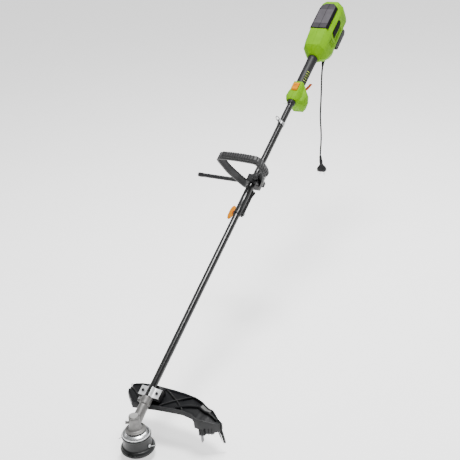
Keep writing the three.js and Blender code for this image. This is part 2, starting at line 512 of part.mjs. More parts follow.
function makeMotor() {
  const poles = 6;
  let stator = pipe(37.8, 26.5, 1758.5, 1805.5, 24);
  for (let i = 0; i < poles; i++) {
    stator = stator.subtract(moved(rod(3.2, 1750, 1812, 8), turnZ(i * 60).multiply(shift(31.5, 0, 0))));
  }
  add(shaft, 'motor_stator', stator, 'copper');
  let core = rod(25.8, 1760, 1804, 24);
  for (let i = 0; i < 8; i++) {
    core = core.subtract(moved(box(21, 27, -1.6, 1.6, 1750, 1812), turnZ(i * 45)));
  }
  add(shaft, 'motor_armature', core.add(rod(5, 1698, 1896, 20)).add(rod(13, 1826, 1848, 24)), 'iron');
  let fan = pipe(12, 5.3, 1722, 1736, 16).add(pipe(40, 5.3, 1722, 1724.5, 24));
  for (let i = 0; i < 7; i++) {
    fan = fan.add(moved(box(11, 39, -1, 1, 1724, 1736), turnZ(i * 360 / 7)));
  }
  add(shaft, 'motor_fan', fan, 'black');
  add(shaft, 'front_bearing', pipe(13, 5.3, 1702, 1712, 28), 'steel');
  add(shaft, 'rear_bearing', pipe(14, 5.3, 1882, 1892, 28), 'steel');
}

function makeGripAndSwitch() {
  // lime core tube with the strip that shows under the black sleeve
  const core = rod(CORE_R, 1491, 1662, 24).add(box(14, 21.4, -6.6, 6.6, GRIP[0] + 0.2, GRIP[1] - 0.2))
    .subtract(rod(9, 1490, 1680, 24));
  add(shaft, 'grip_core', core, 'lime');
  let sleeve = rod(GRIP_R, GRIP[0], GRIP[1], 24).add(rod(GRIP_R + 1, GRIP[1] - 14, GRIP[1], 24))
    .subtract(rod(CORE_R + GAP, GRIP[0] - 1, GRIP[1] + 1, 24))
    .subtract(box(10, 30, -7, 7, GRIP[0] - 1, GRIP[1] + 1));
  for (const side of [-1, 1]) {
    for (let i = 0; i < 5; i++) {
      const slot = box(-17, 4, side > 0 ? 7 : -24, side > 0 ? 24 : -7, 1513 + i * 12, 1517.6 + i * 12);
      sleeve = sleeve.subtract(slot);
    }
  }
  add(shaft, 'grip_sleeve', sleeve, 'black');

  const inner = SWITCH.map((st, i) => (i === 0 ? [1411, ...st.slice(1)]
    : i === SWITCH.length - 1 ? [1495, ...st.slice(1)] : st));
  let shell = hull(SWITCH).subtract(hull(inner, WALL))
    .subtract(rod(TUBE_R + GAP, 1400, 1430, 24)).subtract(rod(CORE_R + GAP, 1488, 1520, 24))
    .subtract(box(-40, -15, -12.4, 12.4, 1449, 1489))          // lock-off opening
    .subtract(box(20, 60, -5.9, 5.9, 1489, 1520));             // trigger opening
  add(shaft, 'switch_housing_left', shell.intersect(box(-60, 90, 0.12, 60, 1400, 1520)), 'lime');
  add(shaft, 'switch_housing_right', shell.intersect(box(-60, 90, -60, -0.12, 1400, 1520)), 'lime');
  add(shaft, 'tube_collar', turned([[TUBE_R + GAP, 1394], [14.6, 1394], [15.6, 1396], [15.6, 1407.6],
    [TUBE_R + GAP, 1407.6], [TUBE_R + GAP, 1394]], 24), 'rubber');
  add(shaft, 'lock_off_button', sideways([[1450, 18.5], [1449.6, 25], [1454, 28.5], [1478, 30.5],
    [1487.6, 25], [1488.4, 18.5]], -12, 12), 'orange');
  // trigger: lever hinged in the tail of the housing, swept back under the grip
  add(shaft, 'trigger', sideways([[1491, -26], [1499, -26], [1512, -42], [1534, -57], [1574, -71.5],
    [1573, -75.5], [1531, -61], [1508, -47], [1494, -35]], -5.5, 5.5), 'orange');
  add(shaft, 'power_switch', sideways([[1462, -17], [1484, -17], [1484, -32], [1462, -34]], -7, 7), 'black');
}

makeTubes();
makeBracket();
makeCoupling();
makeHarnessHook();
makeHandle();
makeMotorHousing();
makeMotor();
makeGripAndSwitch();

// ---- power cord and plug ------------------------------------------------------------------------
function makeCord() {
  const route = [[1486.6, 900.2], [1480.8, 884], [1475.6, 865], [1472, 845], [1466, 795],
    [1458, 750], [1450, 700], [1450, 660], [1452, 625], [1449, 585], [1441, 550], [1437, 524.2]];
  const pts = route.map(([x, z]) => V(x, CORD_Y, z));
  add(head, 'power_cord', along(pts, CORD_R, 28, false, 8), 'rubber');
  // moulded plug: ribbed tail and flat contour body with two pins
  const at = shift(1437.2, CORD_Y, 522.8).multiply(turnY(172));
  const tail = turned([[0, 0], [4.8, 0], [5.6, 10], [7.4, 12], [7.6, 34], [6, 38], [6, 50], [0, 50]], 16);
  const face = (w, d, z) => Array.from({ length: 16 }, (_, i) => {
    const t = (i + 0.5) * Math.PI / 8;
    return V(d * Math.sign(Math.cos(t)) * Math.abs(Math.cos(t)) ** 0.7,
      w * Math.sign(Math.sin(t)) * Math.abs(Math.sin(t)) ** 0.7, z);
  });
  const bodyPart = loft([face(7, 7, 42), face(12, 9, 50), face(19, 12, 57), face(20, 13.5, 63),
    face(20, 13.5, 70), face(18.5, 12, 72)], (p) => new THREE.Vector2(p.x, p.y));
  let plug = tail.add(bodyPart);
  for (const y of [-9.5, 9.5]) plug = plug.subtract(moved(rod(2.6, 60, 90, 14), shift(0, y, 0)));
  add(head, 'plug_body', moved(plug, at), 'rubber');
  for (const [side, y] of [['left', 9.5], ['right', -9.5]]) {
    const pin = moved(rod(2.4, 60.4, 90, 14).add(rod(2.4, 90, 91, 14, 1.6)), shift(0, y, 0));
    add(head, `plug_pin_${side}`, moved(pin, at), 'steel');
  }
}
makeCord();

export default group;
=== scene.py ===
"""Looks of a corded string trimmer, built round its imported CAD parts. Scene units are metres.

Shapes are written in millimetres and scaled once, in raw(). Two frames are used: WORLD, whose +Z is
the spool axis, and SHAFT, whose +Z runs up the tube and whose +X points to its underside.
"""

import json
from math import copysign, cos, pi, radians, sin, sqrt, tau

import bmesh
import bpy
from mathutils import Matrix, Vector


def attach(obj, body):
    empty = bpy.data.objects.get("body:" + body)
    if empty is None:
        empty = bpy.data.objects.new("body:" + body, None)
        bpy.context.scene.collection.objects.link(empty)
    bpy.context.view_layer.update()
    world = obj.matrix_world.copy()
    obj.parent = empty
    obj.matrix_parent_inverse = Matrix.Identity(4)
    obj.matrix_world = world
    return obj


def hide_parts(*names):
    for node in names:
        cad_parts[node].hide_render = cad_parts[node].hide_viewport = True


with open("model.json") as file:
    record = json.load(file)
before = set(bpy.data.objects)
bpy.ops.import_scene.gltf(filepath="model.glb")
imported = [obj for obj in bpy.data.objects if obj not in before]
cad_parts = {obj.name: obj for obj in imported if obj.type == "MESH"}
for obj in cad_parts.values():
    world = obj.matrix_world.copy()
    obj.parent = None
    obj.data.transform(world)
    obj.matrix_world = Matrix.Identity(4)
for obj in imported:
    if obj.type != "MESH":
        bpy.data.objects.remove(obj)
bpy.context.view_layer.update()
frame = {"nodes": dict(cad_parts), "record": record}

# ---- driving dimensions ----
MM = 0.001
HEAD_HEIGHT = 123.5
LEAN = radians(60)
SHAFT = Matrix.Translation((0, 0, HEAD_HEIGHT)) @ Matrix.Rotation(LEAN, 4, "Y")
WORLD = Matrix.Identity(4)
TUBE_R, TUBE_BORE = 12.0, 10.4
LOWER_TUBE, UPPER_TUBE = (52, 905), (908, 1460)
BRACKET, SCREW_ALONG, SCREW_OUT = (99, 132), 115.5, 27
COUPLING = (848, 976)
HANDLE_AT, BAR_UNDER, BAR_AHEAD = 1008, 46, 24.5
HOOK_AT = 1290
GRIP = (1498.4, 1645.6)
BUSH_TOP, BUSH_ALONG, BUSH_TURN, BUSH_MOUTH = -53.8, 1696, 140, 26
LINE_HEIGHT, LINE_TURNS = 52, (("front", -92), ("rear", 88))
PIN_OUT = 9.5
CORD_Y, CORD_R = -0.014, 0.0032
SIDES = (("left", 1), ("right", -1))


# ---- camera ----
EYE, LENS = (-1.810, -1.530, 1.8944), 69.9


def added(name, data):
    obj = bpy.data.objects.new(name, data)
    bpy.context.scene.collection.objects.link(obj)
    return obj


def make_camera():
    """The view from the right front and above, with the slight roll of a hand held shot."""
    yaw, rise, roll = radians(-58.42), radians(25.34), radians(-4.61)
    back = Vector((sin(yaw) * cos(rise), -cos(yaw) * cos(rise), sin(rise)))
    level = Vector((cos(yaw), sin(yaw), 0))
    above = back.cross(level)
    right = level * cos(roll) + above * sin(roll)
    up = above * cos(roll) - level * sin(roll)
    data = bpy.data.cameras.new("camera")
    data.lens, data.sensor_width = LENS, 36
    data.clip_start, data.clip_end = 0.05, 60
    camera = added("camera", data)
    camera.matrix_world = Matrix((*zip(right, up, back, EYE), (0, 0, 0, 1)))
    bpy.context.scene.camera = camera


make_camera()


# ---- mesh tools ----
class Shape:
    """Vertices in millimetres and the faces between them."""

    def __init__(self, verts, faces):
        self.verts = [Vector(v) for v in verts]
        self.faces = faces

    def at(self, matrix):
        return Shape([matrix @ v for v in self.verts], self.faces)

    def __add__(self, other):
        n = len(self.verts)
        return Shape(self.verts + other.verts, self.faces + [[i + n for i in f] for f in other.faces])


def turn(axis, deg):
    return Matrix.Rotation(radians(deg), 4, axis)


def shift(x, y, z):
    return Matrix.Translation((x, y, z))


def on_shaft(x, y, z, axis, deg):
    """A place in the shaft frame, turned about one of its own axes."""
    return SHAFT @ shift(x, y, z) @ turn(axis, deg)


def polar(r, angle):
    return r * cos(angle), r * sin(angle)


def circle(r, n):
    return [polar(r, tau * k / n) for k in range(n)]


def lathe(profile, seg=64):
    """[radius, height] pairs turned about Z. A closed profile repeats its first point at its end."""
    closed = tuple(profile[0]) == tuple(profile[-1])
    pts = profile[:-1] if closed else profile
    n = len(pts)
    verts = [(*polar(r, tau * k / seg), z) for k in range(seg) for r, z in pts]
    faces = []
    for k in range(seg):
        a, b = k * n, (k + 1) % seg * n
        for i in range(n if closed else n - 1):
            j = (i + 1) % n
            faces.append([a + i, b + i, b + j, a + j])
    return Shape(verts, faces)


def loft(rings, caps=True):
    """Skin over rings that all have the same number of points."""
    n = len(rings[0])
    faces = [[k * n + i, k * n + (i + 1) % n, (k + 1) * n + (i + 1) % n, (k + 1) * n + i]
             for k in range(len(rings) - 1) for i in range(n)]
    if caps:
        faces += [list(range(n))[::-1], list(range((len(rings) - 1) * n, len(rings) * n))]
    return Shape([p for ring in rings for p in ring], faces)


def prism(outline, a, b):
    """Flat outline of [x, y] drawn out along Z."""
    return loft([[(x, y, a) for x, y in outline], [(x, y, b) for x, y in outline]])


def section(outline, a, b):
    """Outline as [y, top] in the shaft's cross section, drawn out along the shaft."""
    return prism([(-top, y) for y, top in outline], a, b)


def sideways(outline, y0, y1):
    """Outline as [along, top] in the shaft's side view, drawn out across it."""
    return loft([[(-top, y, s) for s, top in outline] for y in (y0, y1)])


def block(x0, x1, y0, y1, z0, z1):
    return prism([(x0, y0), (x1, y0), (x1, y1), (x0, y1)], z0, z1)


def smooth_line(points, steps, closed=False):
    """Points along a Catmull-Rom curve through the given ones."""
    pts = [Vector(p) for p in points]
    n = len(pts)
    out = []
    spans = n if closed else n - 1
    for i in range(spans):
        if closed:
            p0, p1, p2, p3 = (pts[(i + k) % n] for k in (-1, 0, 1, 2))
        else:
            p1, p2 = pts[i], pts[i + 1]
            p0 = pts[i - 1] if i else p1 * 2 - p2
            p3 = pts[i + 2] if i + 2 < n else p2 * 2 - p1
        for k in range(steps):
            t = k / steps
            out.append(0.5 * ((2 * p1) + (p2 - p0) * t + (2 * p0 - 5 * p1 + 4 * p2 - p3) * t * t
                              + (3 * p1 - p0 - 3 * p2 + p3) * t ** 3))
    if not closed:
        out.append(pts[-1])
    return out


def sweep(line, ring_at, closed=False, up=(0, 1, 0)):
    """A section carried along a line. ring_at(t) gives [sideways, upwards] offsets at t from 0 to 1."""
    n = len(line)
    rings = []
    side = Vector(up)
    for i, p in enumerate(line):
        before = line[i - 1] if i or closed else p
        after = line[(i + 1) % n] if i + 1 < n or closed else p
        ahead = (after - before).normalized()
        side = (side - ahead * side.dot(ahead)).normalized()
        over = ahead.cross(side)
        rings.append([p + side * a + over * b for a, b in ring_at(i / (n - 1))])
    shape = loft(rings, caps=not closed)
    if closed:
        m, last = len(rings[0]), (n - 1) * len(rings[0])
        shape.faces += [[last + i, last + (i + 1) % m, (i + 1) % m, i] for i in range(m)]
    return shape


def wire(points, r, steps, closed, n):
    return sweep(smooth_line(points, steps, closed), lambda t: circle(r, n), closed)


def bake(obj):
    """Replaces the object's mesh by what its modifiers make of it."""
    bpy.context.view_layer.update()
    made = bpy.data.meshes.new_from_object(obj.evaluated_get(bpy.context.evaluated_depsgraph_get()))
    obj.modifiers.clear()
    obj.data = made
    return obj


def raw(name, shape, place=SHAFT):
    """An object from a shape in millimetres, with its faces turned outwards."""
    mesh = bpy.data.meshes.new(name)
    mesh.from_pydata([(place @ v) * MM for v in shape.verts], [], shape.faces)
    bm = bmesh.new()
    bm.from_mesh(mesh)
    bmesh.ops.remove_doubles(bm, verts=bm.verts, dist=1e-6)
    bmesh.ops.recalc_face_normals(bm, faces=bm.faces)
    bm.to_mesh(mesh)
    bm.free()
    return added(name, mesh)


def box(name, *ends, place=SHAFT):
    return raw(name, block(*ends), place)


def rod(name, r, a, b, seg, place=SHAFT):
    """A round bar with sharp ends, such as a drill for a bore."""
    return raw(name, disc(r, a, b, seg, 0), place)


def carve(obj, tools, mode="DIFFERENCE"):
    """Cuts or joins shapes that stand in the same place as obj."""
    for tool in tools:
        m = obj.modifiers.new("cut", "BOOLEAN")
        m.operation, m.solver, m.object = mode, "EXACT", tool
    bake(obj)
    for tool in tools:
        bpy.data.objects.remove(tool)
    return obj


def merge(obj, others):
    """Adds the meshes of other objects to obj, without cutting them into it."""
    bm = bmesh.new()
    for source in (obj, *others):
        bm.from_mesh(source.data)
    bm.to_mesh(obj.data)
    bm.free()
    for other in others:
        bpy.data.objects.remove(other)
    return obj


def rounded(obj, width, segments=3, angle=28):
    """Rounds the edges that are sharper than angle."""
    m = obj.modifiers.new("round", "BEVEL")
    m.width, m.segments, m.limit_method = width * MM, segments, "ANGLE"
    m.angle_limit, m.harden_normals, m.use_clamp_overlap = radians(angle), True, True
    return obj


def eased(obj, width, segments=3, angle=28):
    """Rounds an object and keeps the result, so that it can be cut or joined."""
    return bake(rounded(obj, width, segments, angle))


def piece(obj, material, *stands_for, body="machine", slot=None, sharp=32):
    """Gives a finished mesh its shading, material and body, and hides the CAD nodes it replaces. slot is
    not used.
    """
    obj.data.shade_smooth()
    obj.data.set_sharp_from_angle(angle=radians(sharp))
    obj.data.materials.clear()
    obj.data.materials.append(material)
    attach(obj, body)
    if stands_for:
        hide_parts(*stands_for)
    return obj


# ---- materials ----
def fill(node, values):
    """Sets a shader node's sockets to constants."""
    for socket, value in values.items():
        node.inputs[socket].default_value = value


NOISE_SPAN = (0.3, 0.7)


class Look:
    """A procedural material: a principled shader with noise in its colour, roughness and bump."""

    def __init__(self, name, roughness, metallic=0.0, specular=0.5, coat=0.0):
        self.material = bpy.data.materials.new(name)
        self.material.use_nodes = True
        tree = self.material.node_tree
        self.new, self.link = tree.nodes.new, tree.links.new
        self.shader = tree.nodes["Principled BSDF"]
        fill(self.shader, {"Roughness": roughness, "Metallic": metallic, "Coat Weight": coat,
                           "Specular IOR Level": specular})
        self.place = self.new("ShaderNodeTexCoord").outputs["Object"]
        self.height = None

    def noise(self, scale, detail=4.0, stretch=None):
        """Noise in the object's own space; stretch scales that space along x, y and z."""
        where = self.place
        if stretch:
            mapping = self.new("ShaderNodeMapping")
            fill(mapping, {"Scale": stretch})
            self.link(where, mapping.inputs["Vector"])
            where = mapping.outputs["Vector"]
        node = self.new("ShaderNodeTexNoise")
        fill(node, {"Scale": scale, "Detail": detail})
        self.link(where, node.inputs["Vector"])
        return node.outputs["Fac"]

    def colour(self, factor, dark, light):
        node = self.new("ShaderNodeValToRGB")
        for element, at, colour in zip(node.color_ramp.elements, NOISE_SPAN, (dark, light)):
            element.position, element.color = at, (*colour, 1)
        self.link(factor, node.inputs["Fac"])
        self.link(node.outputs["Color"], self.shader.inputs["Base Color"])

    def rough(self, factor, low, high):
        node = self.new("ShaderNodeMapRange")
        fill(node, {"From Min": NOISE_SPAN[0], "From Max": NOISE_SPAN[1], "To Min": low, "To Max": high})
        self.link(factor, node.inputs["Value"])
        self.link(node.outputs["Result"], self.shader.inputs["Roughness"])

    def bump(self, factor, depth, strength):
        """depth is in millimetres. Calls stack, each bump riding on the one before."""
        node = self.new("ShaderNodeBump")
        fill(node, {"Distance": depth * MM, "Strength": strength})
        self.link(factor, node.inputs["Height"])
        if self.height is not None:
            self.link(self.height, node.inputs["Normal"])
        self.height = node.outputs["Normal"]
        self.link(self.height, self.shader.inputs["Normal"])
        return self


def moulded(name, dark, light, rough, grain=0.05, specular=0.5, coat=0.0):
    """Injection moulded plastic: fine spark grain, faint flow clouding and handling sheen."""
    look = Look(name, rough, 0.0, specular, coat)
    look.colour(look.noise(28), dark, light)
    look.rough(look.noise(160, 6), rough - 0.07, rough + 0.08)
    look.bump(look.noise(2600, 2), grain, 0.5).bump(look.noise(420, 3), grain, 0.2)
    return look.material


def metal(name, dark, light, rough, stretch=None):
    """Plated or polished metal with drawn lines or a soft clouding."""
    look = Look(name, rough, 1.0)
    look.colour(look.noise(90, 5), dark, light)
    look.rough(look.noise(500, 6, stretch), rough - 0.06, rough + 0.12)
    look.bump(look.noise(900, 4, stretch), 0.02, 0.5)
    return look.material


def gloss(name, dark, light):
    """Thick gloss enamel: an even skin with the faintest orange peel."""
    look = Look(name, 0.22, 0.0, 0.42)
    look.colour(look.noise(40), dark, light)
    look.rough(look.noise(30, 3), 0.20, 0.24)
    look.bump(look.noise(240, 2), 0.004, 0.1)
    return look.material


def cast(name, dark, light):
    """Sand blasted pressure casting: mottled grey, pitted, dull."""
    look = Look(name, 0.46, 0.7)
    look.colour(look.noise(55, 8), dark, light)
    look.rough(look.noise(300, 6), 0.38, 0.56)
    look.bump(look.noise(1500, 5), 0.12, 0.6).bump(look.noise(230, 4), 0.16, 0.35)
    return look.material


LIME = moulded("lime_plastic", (0.092, 0.225, 0.0), (0.112, 0.262, 0.0), 0.5, 0.03, 0.05)
BLACK = moulded("black_plastic", (0.008, 0.008, 0.009), (0.014, 0.0142, 0.0152), 0.45, 0.05, 0.22)
GUARD = moulded("guard_plastic", (0.005, 0.0052, 0.006), (0.009, 0.0094, 0.0102), 0.4, 0.05, 0.14)
DRUM = moulded("drum_plastic", (0.008, 0.009, 0.0092), (0.013, 0.0138, 0.014), 0.36, 0.05, 0.3)
SOFT = moulded("soft_rubber", (0.006, 0.006, 0.0068), (0.011, 0.011, 0.012), 0.5, 0.08, 0.22)
GLOSS = moulded("badge_panel", (0.002, 0.0022, 0.002), (0.003, 0.0034, 0.003), 0.6, 0.02, 0.04)
PANEL = moulded("grey_panel", (0.022, 0.020, 0.024), (0.032, 0.029, 0.034), 0.5, 0.04, 0.12)
PALE = moulded("pale_panel", (0.040, 0.037, 0.042), (0.053, 0.049, 0.056), 0.5, 0.04, 0.12)
BAND = moulded("band_plastic", (0.022, 0.022, 0.023), (0.032, 0.032, 0.033), 0.42, 0.05, 0.3)
# lighter grey for the guard's skirt and thin braces: painted sheen and painted edge highlights on black
# plastic
PAINTED_SHEEN_GREY = moulded("guard_skirt_painted_sheen", (0.016, 0.0162, 0.017), (0.023, 0.0234, 0.0242), 0.42, 0.05, 0.25)
RIBBED = moulded("ribbed_rubber", (0.018, 0.018, 0.019), (0.027, 0.027, 0.028), 0.46, 0.08, 0.3)
FLEX = moulded("cord_rubber", (0.004, 0.004, 0.0045), (0.007, 0.007, 0.0075), 0.62, 0.05, 0.05)
# pale grey for the guard's patch behind its thick rib: a painted reflection on glossy black plastic
PAINTED_REFLECTION = moulded("painted_reflection_patch", (0.10, 0.10, 0.10), (0.16, 0.16, 0.16), 0.16, 0.01, 0.5, 0.3)
# near black: the roof cover's tray, and a sheet of painted shade behind the vents
EDGE_BLACK_AND_VENT_SHADE = moulded("edge_black_and_painted_vent_shade", (0.002, 0.002, 0.0022), (0.004, 0.004, 0.0042), 0.6, 0.04, 0.05)
ORANGE = moulded("orange_plastic", (0.40, 0.062, 0.0), (0.47, 0.08, 0.0), 0.42, 0.03, 0.05)
AMBER = moulded("amber_plastic", (0.43, 0.145, 0.0), (0.50, 0.172, 0.0), 0.42, 0.03, 0.05)
LINE = moulded("trimmer_line", (0.36, 0.37, 0.38), (0.46, 0.47, 0.48), 0.3, 0.02)
TUBE = gloss("gloss_black_tube", (0.004, 0.004, 0.0045), (0.007, 0.007, 0.0075))
# a far paler copy of the lime plastic: painted light on the grip core, which lies in shade inside the
# sleeve
PAINTED_LIGHT_LIME = moulded("lime_painted_light", (0.50, 0.68, 0.08), (0.58, 0.76, 0.12), 0.4, 0.03, 0.1)
WIRE = metal("zinc_wire", (0.12, 0.12, 0.124), (0.19, 0.19, 0.195), 0.34)
STEEL = metal("zinc_steel", (0.52, 0.53, 0.54), (0.68, 0.69, 0.70), 0.26)
PLATE = metal("plated_steel", (0.74, 0.75, 0.76), (0.86, 0.87, 0.88), 0.40)
BAND_STEEL = metal("band_steel", (0.30, 0.305, 0.31), (0.42, 0.425, 0.43), 0.34)
SPUN = metal("spun_steel", (0.45, 0.46, 0.47), (0.66, 0.67, 0.68), 0.22, (1, 1, 14))
IRON = metal("blackened_steel", (0.03, 0.03, 0.032), (0.07, 0.07, 0.075), 0.42)
COPPER = metal("wound_copper", (0.32, 0.10, 0.04), (0.48, 0.18, 0.08), 0.34)
ALLOY = cast("cast_alloy", (0.13, 0.128, 0.124), (0.19, 0.187, 0.182))
# a lighter copy of the cast alloy for the cap disc: painted light on the top face, which looks up at the
# lamps
PAINTED_LIT_ALLOY = cast("alloy_painted_lit_top", (0.34, 0.338, 0.33), (0.42, 0.417, 0.41))
# the materials of each slot; the first one dresses the CAD nodes that are carried over
SLOTS = {
    "lime_plastic": (LIME, PAINTED_LIGHT_LIME), "black_tube": (TUBE,), "grey_panel": (PANEL, PALE),
    "black_plastic": (BLACK, GUARD, DRUM, GLOSS, BAND, PAINTED_SHEEN_GREY, PAINTED_REFLECTION, EDGE_BLACK_AND_VENT_SHADE), "line": (LINE,),
    "orange_plastic": (ORANGE, AMBER), "cast_alloy": (ALLOY, PAINTED_LIT_ALLOY), "dark_steel": (IRON,),
    "bright_steel": (STEEL, WIRE, PLATE, BAND_STEEL, SPUN), "rubber": (SOFT, RIBBED, FLEX),
    "copper": (COPPER,),
}


# ---- power cord ----
# the cord hangs from the bush to the plug; x and z in metres, at CORD_Y
ROUTE = [
    (1.4866, 0.9002), (1.4808, 0.8840), (1.4756, 0.8650), (1.4720, 0.8450), (1.4660, 0.7950),
    (1.4580, 0.7500), (1.4500, 0.7000), (1.4500, 0.6600), (1.4520, 0.6250), (1.4490, 0.5850),
    (1.4410, 0.5500), (1.4370, 0.5242),
]


def make_cord():
    line = smooth_line([(x, CORD_Y, z) for x, z in ROUTE], 10)
    tube = sweep([p / MM for p in line], lambda t: circle(CORD_R / MM, 20))
    cord = piece(raw("cord", tube, WORLD), FLEX, "power_cord")
    length = sum((b - a).length for a, b in zip(line, line[1:]))
    return cord, length, line


cord, cord_length, cord_line = make_cord()


# ---- tubes and shaft fittings ----
def make_tubes():
    for name, (a, b) in (("lower_tube", LOWER_TUBE), ("upper_tube", UPPER_TUBE)):
        wall = [(TUBE_R - 0.5, a), (TUBE_R, a + 0.6), (TUBE_R, b - 0.6), (TUBE_R - 0.5, b),
                (TUBE_BORE, b), (TUBE_BORE, a), (TUBE_R - 0.5, a)]
        piece(raw(name + "_look", lathe(wall, 80)), TUBE, name)
    ring = [(12.3, 1394), (13.6, 1394), (14.8, 1395.4), (15.4, 1397.5), (14.9, 1399.2), (15.5, 1401),
            (15, 1402.8), (15.6, 1404.6), (15.6, 1407.4), (12.3, 1407.4), (12.3, 1394)]
    piece(raw("shaft_collar", lathe(ring, 72)), SOFT, "tube_collar")


def across(y, s, top):
    """Places a shape made along Z so that it runs along +Y of the shaft."""
    return on_shaft(-top, y, s, "X", -90)


def hexagon(r, a, b):
    """Bolt head with chamfered corners."""
    steps = [(r * 0.9, a), (r, a + 0.5), (r, b - 0.6), (r * 0.88, b)]
    return loft([[(x * q, y * q, z) for x, y in circle(1, 6)] for q, z in steps])


def disc(r, a, b, seg=40, soft=0.4):
    """Round bar with softened end edges."""
    return lathe([(0, a), (r - soft, a), (r, a + soft), (r, b - soft), (r - soft, b), (0, b)], seg)


def make_harness_hook():
    s = HOOK_AT
    band = lathe([(12.4, s - 7.5), (14.2, s - 7.5), (14.7, s - 6.6), (14.1, s - 5.6), (14.1, s + 5.6),
                  (14.7, s + 6.6), (14.2, s + 7.5), (12.4, s + 7.5), (12.4, s - 7.5)], 72)
    clamp = raw("hook_band", band)
    carve(clamp, [eased(box("ear", -28, -13, y, y + 2.4, s - 6, s + 6), 1.6)
                  for y in (2.3, -4.7)], "UNION")
    carve(clamp, [box("slit", -20, -10, -2.2, 2.2, s - 9, s + 9)])
    piece(clamp, BAND_STEEL, "harness_clamp")
    screw = disc(1.8, -7.4, 7.4, 24) + hexagon(3.6, 4.9, 7.8) + disc(3.6, -7.8, -4.9, 32, 0.8)
    piece(raw("hook_screw", screw, across(0, s, 23)), STEEL, "harness_screw")
    ring = []
    for k in range(24):
        t = k * tau / 24
        c = cos(t)
        ring.append((-(36.4 + 17.9 * c), 0, s + 7.6 * sin(t) - 5 * (c + 1)))
    loop = wire(ring, 1.5, 5, True, 16)
    piece(raw("hook_ring", loop), WIRE, "harness_ring", body="strap_ring")


def make_coupling():
    a, b = COUPLING
    wall = [(12.35, a), (14.2, a), (15, a + 0.8), (15.2, a + 2), (15.2, a + 5.6), (14.3, a + 7)]
    wall += [(14.3, b - 7), (15.2, b - 5.6), (15.2, b - 1.4), (14.6, b), (12.35, b), (12.35, a)]
    sleeve = raw("joint_sleeve", lathe(wall, 72))
    turned = SHAFT @ turn("Z", -45)
    spine = eased(box("spine", 12.6, 18.3, -5.4, 5.4, a + 4, b - 6, place=turned), 1.2)
    lug = [eased(box("lug", 13, 25, y, y + 2.8, a + 6, a + 18, place=turned), 1.2) for y in (-8.5, 5.7)]
    boss = raw("boss", disc(8.5, 11, 17, 40), across(0, a + 9.5, -4))
    carve(sleeve, [spine, *lug, boss], "UNION")
    carve(sleeve, [rod("bore", 12.35, a - 2, b + 2, 72)])
    piece(rounded(sleeve, 0.5, 2, 40), TUBE, "coupling_sleeve", slot="black_plastic")
    top = smooth_line([(a + 9, -23.6, 0), (a + 16, -24.6, 0), (a + 26, -23.6, 0), (b - 46, -23.2, 0),
                       (b - 34, -23.8, 0), (b - 24, -25.8, 0), (b - 14, -27.4, 0), (b - 9, -25, 0)], 5)
    side = [(p.x, p.y) for p in top] + [(b - 8, -20), (b - 18, -18.9), (a + 13, -18.9), (a + 9, -20)]
    lever = raw("release_grip", sideways(side, -5.2, 5.2), turned)
    grooves = [box("groove", 26.6, 30, -8, 8, b - 22 + 3.2 * k, b - 20.9 + 3.2 * k, place=turned)
               for k in range(4)]
    carve(lever, grooves)
    piece(rounded(lever, 1.4, 3), BLACK, "coupling_lever", body="release_lever")
    pin = disc(2, -8.7, 8.7, 32).at(turned @ shift(21.6, 0, a + 12) @ turn("X", 90))
    piece(raw("release_pin", pin, WORLD), STEEL, body="release_lever")
    # wing of the clamp knob: a smooth leaf, thickest in its middle, over a darker hub
    bolt = across(0, a + 9.5, -4)
    rings = []
    for t in (-1 + k / 6 for k in range(13)):
        half, high = (q * sqrt(max(least, 1 - abs(t) ** power))
                      for q, least, power in ((3.6, 0.02, 3), (10.6, 0.01, 3.4)))
        rings.append([(half * x, 31.4 * t, 27.4 + high * y) for x, y in circle(1, 28)])
    leaf = raw("wing_knob", loft(rings), bolt)
    hub = raw("hub", lathe([(0, 17.4), (8.2, 17.4), (8.6, 18.2), (8.2, 20), (5, 22.6), (3, 23.4),
                            (0, 23.4)], 48), bolt)
    piece(rounded(leaf, 1.0, 3, 30), AMBER, "coupling_knob", body="clamp_knob")
    piece(hub, ORANGE, body="clamp_knob")


make_tubes()
make_harness_hook()
make_coupling()


# ---- loop handle ----
# outer face of the loop in the plane across the shaft, as [y, top], from the foot round by the right
LOOP = [(6, -37), (-12, -36.5), (-24, -30), (-40, -7), (-62, 34), (-71, 64), (-71.5, 88), (-67, 112),
        (-60, 127), (-48, 132.5), (-20, 135), (16, 136.6), (60, 136), (88, 133.5), (101, 130), (106.5, 121),
        (104, 106), (96, 76), (87, 47), (64, 4), (47, -23), (34, -33), (20, -37)]


def loop_line(inset):
    """Closed centre line of the loop, inset from its outer face."""
    line = smooth_line([(y, u, 0) for y, u in LOOP], 6, True)
    out = []
    for i, p in enumerate(line):
        d = (line[(i + 1) % len(line)] - line[i - 1]).normalized()
        out.append(Vector((-(p.y - inset * d.x), p.x + inset * d.y, HANDLE_AT)))
    return out


RUBBER_STEP, RIB_PITCH, RIB_SHARE, RIB_HIGH = 1.6, 10, 0.66, 3.0


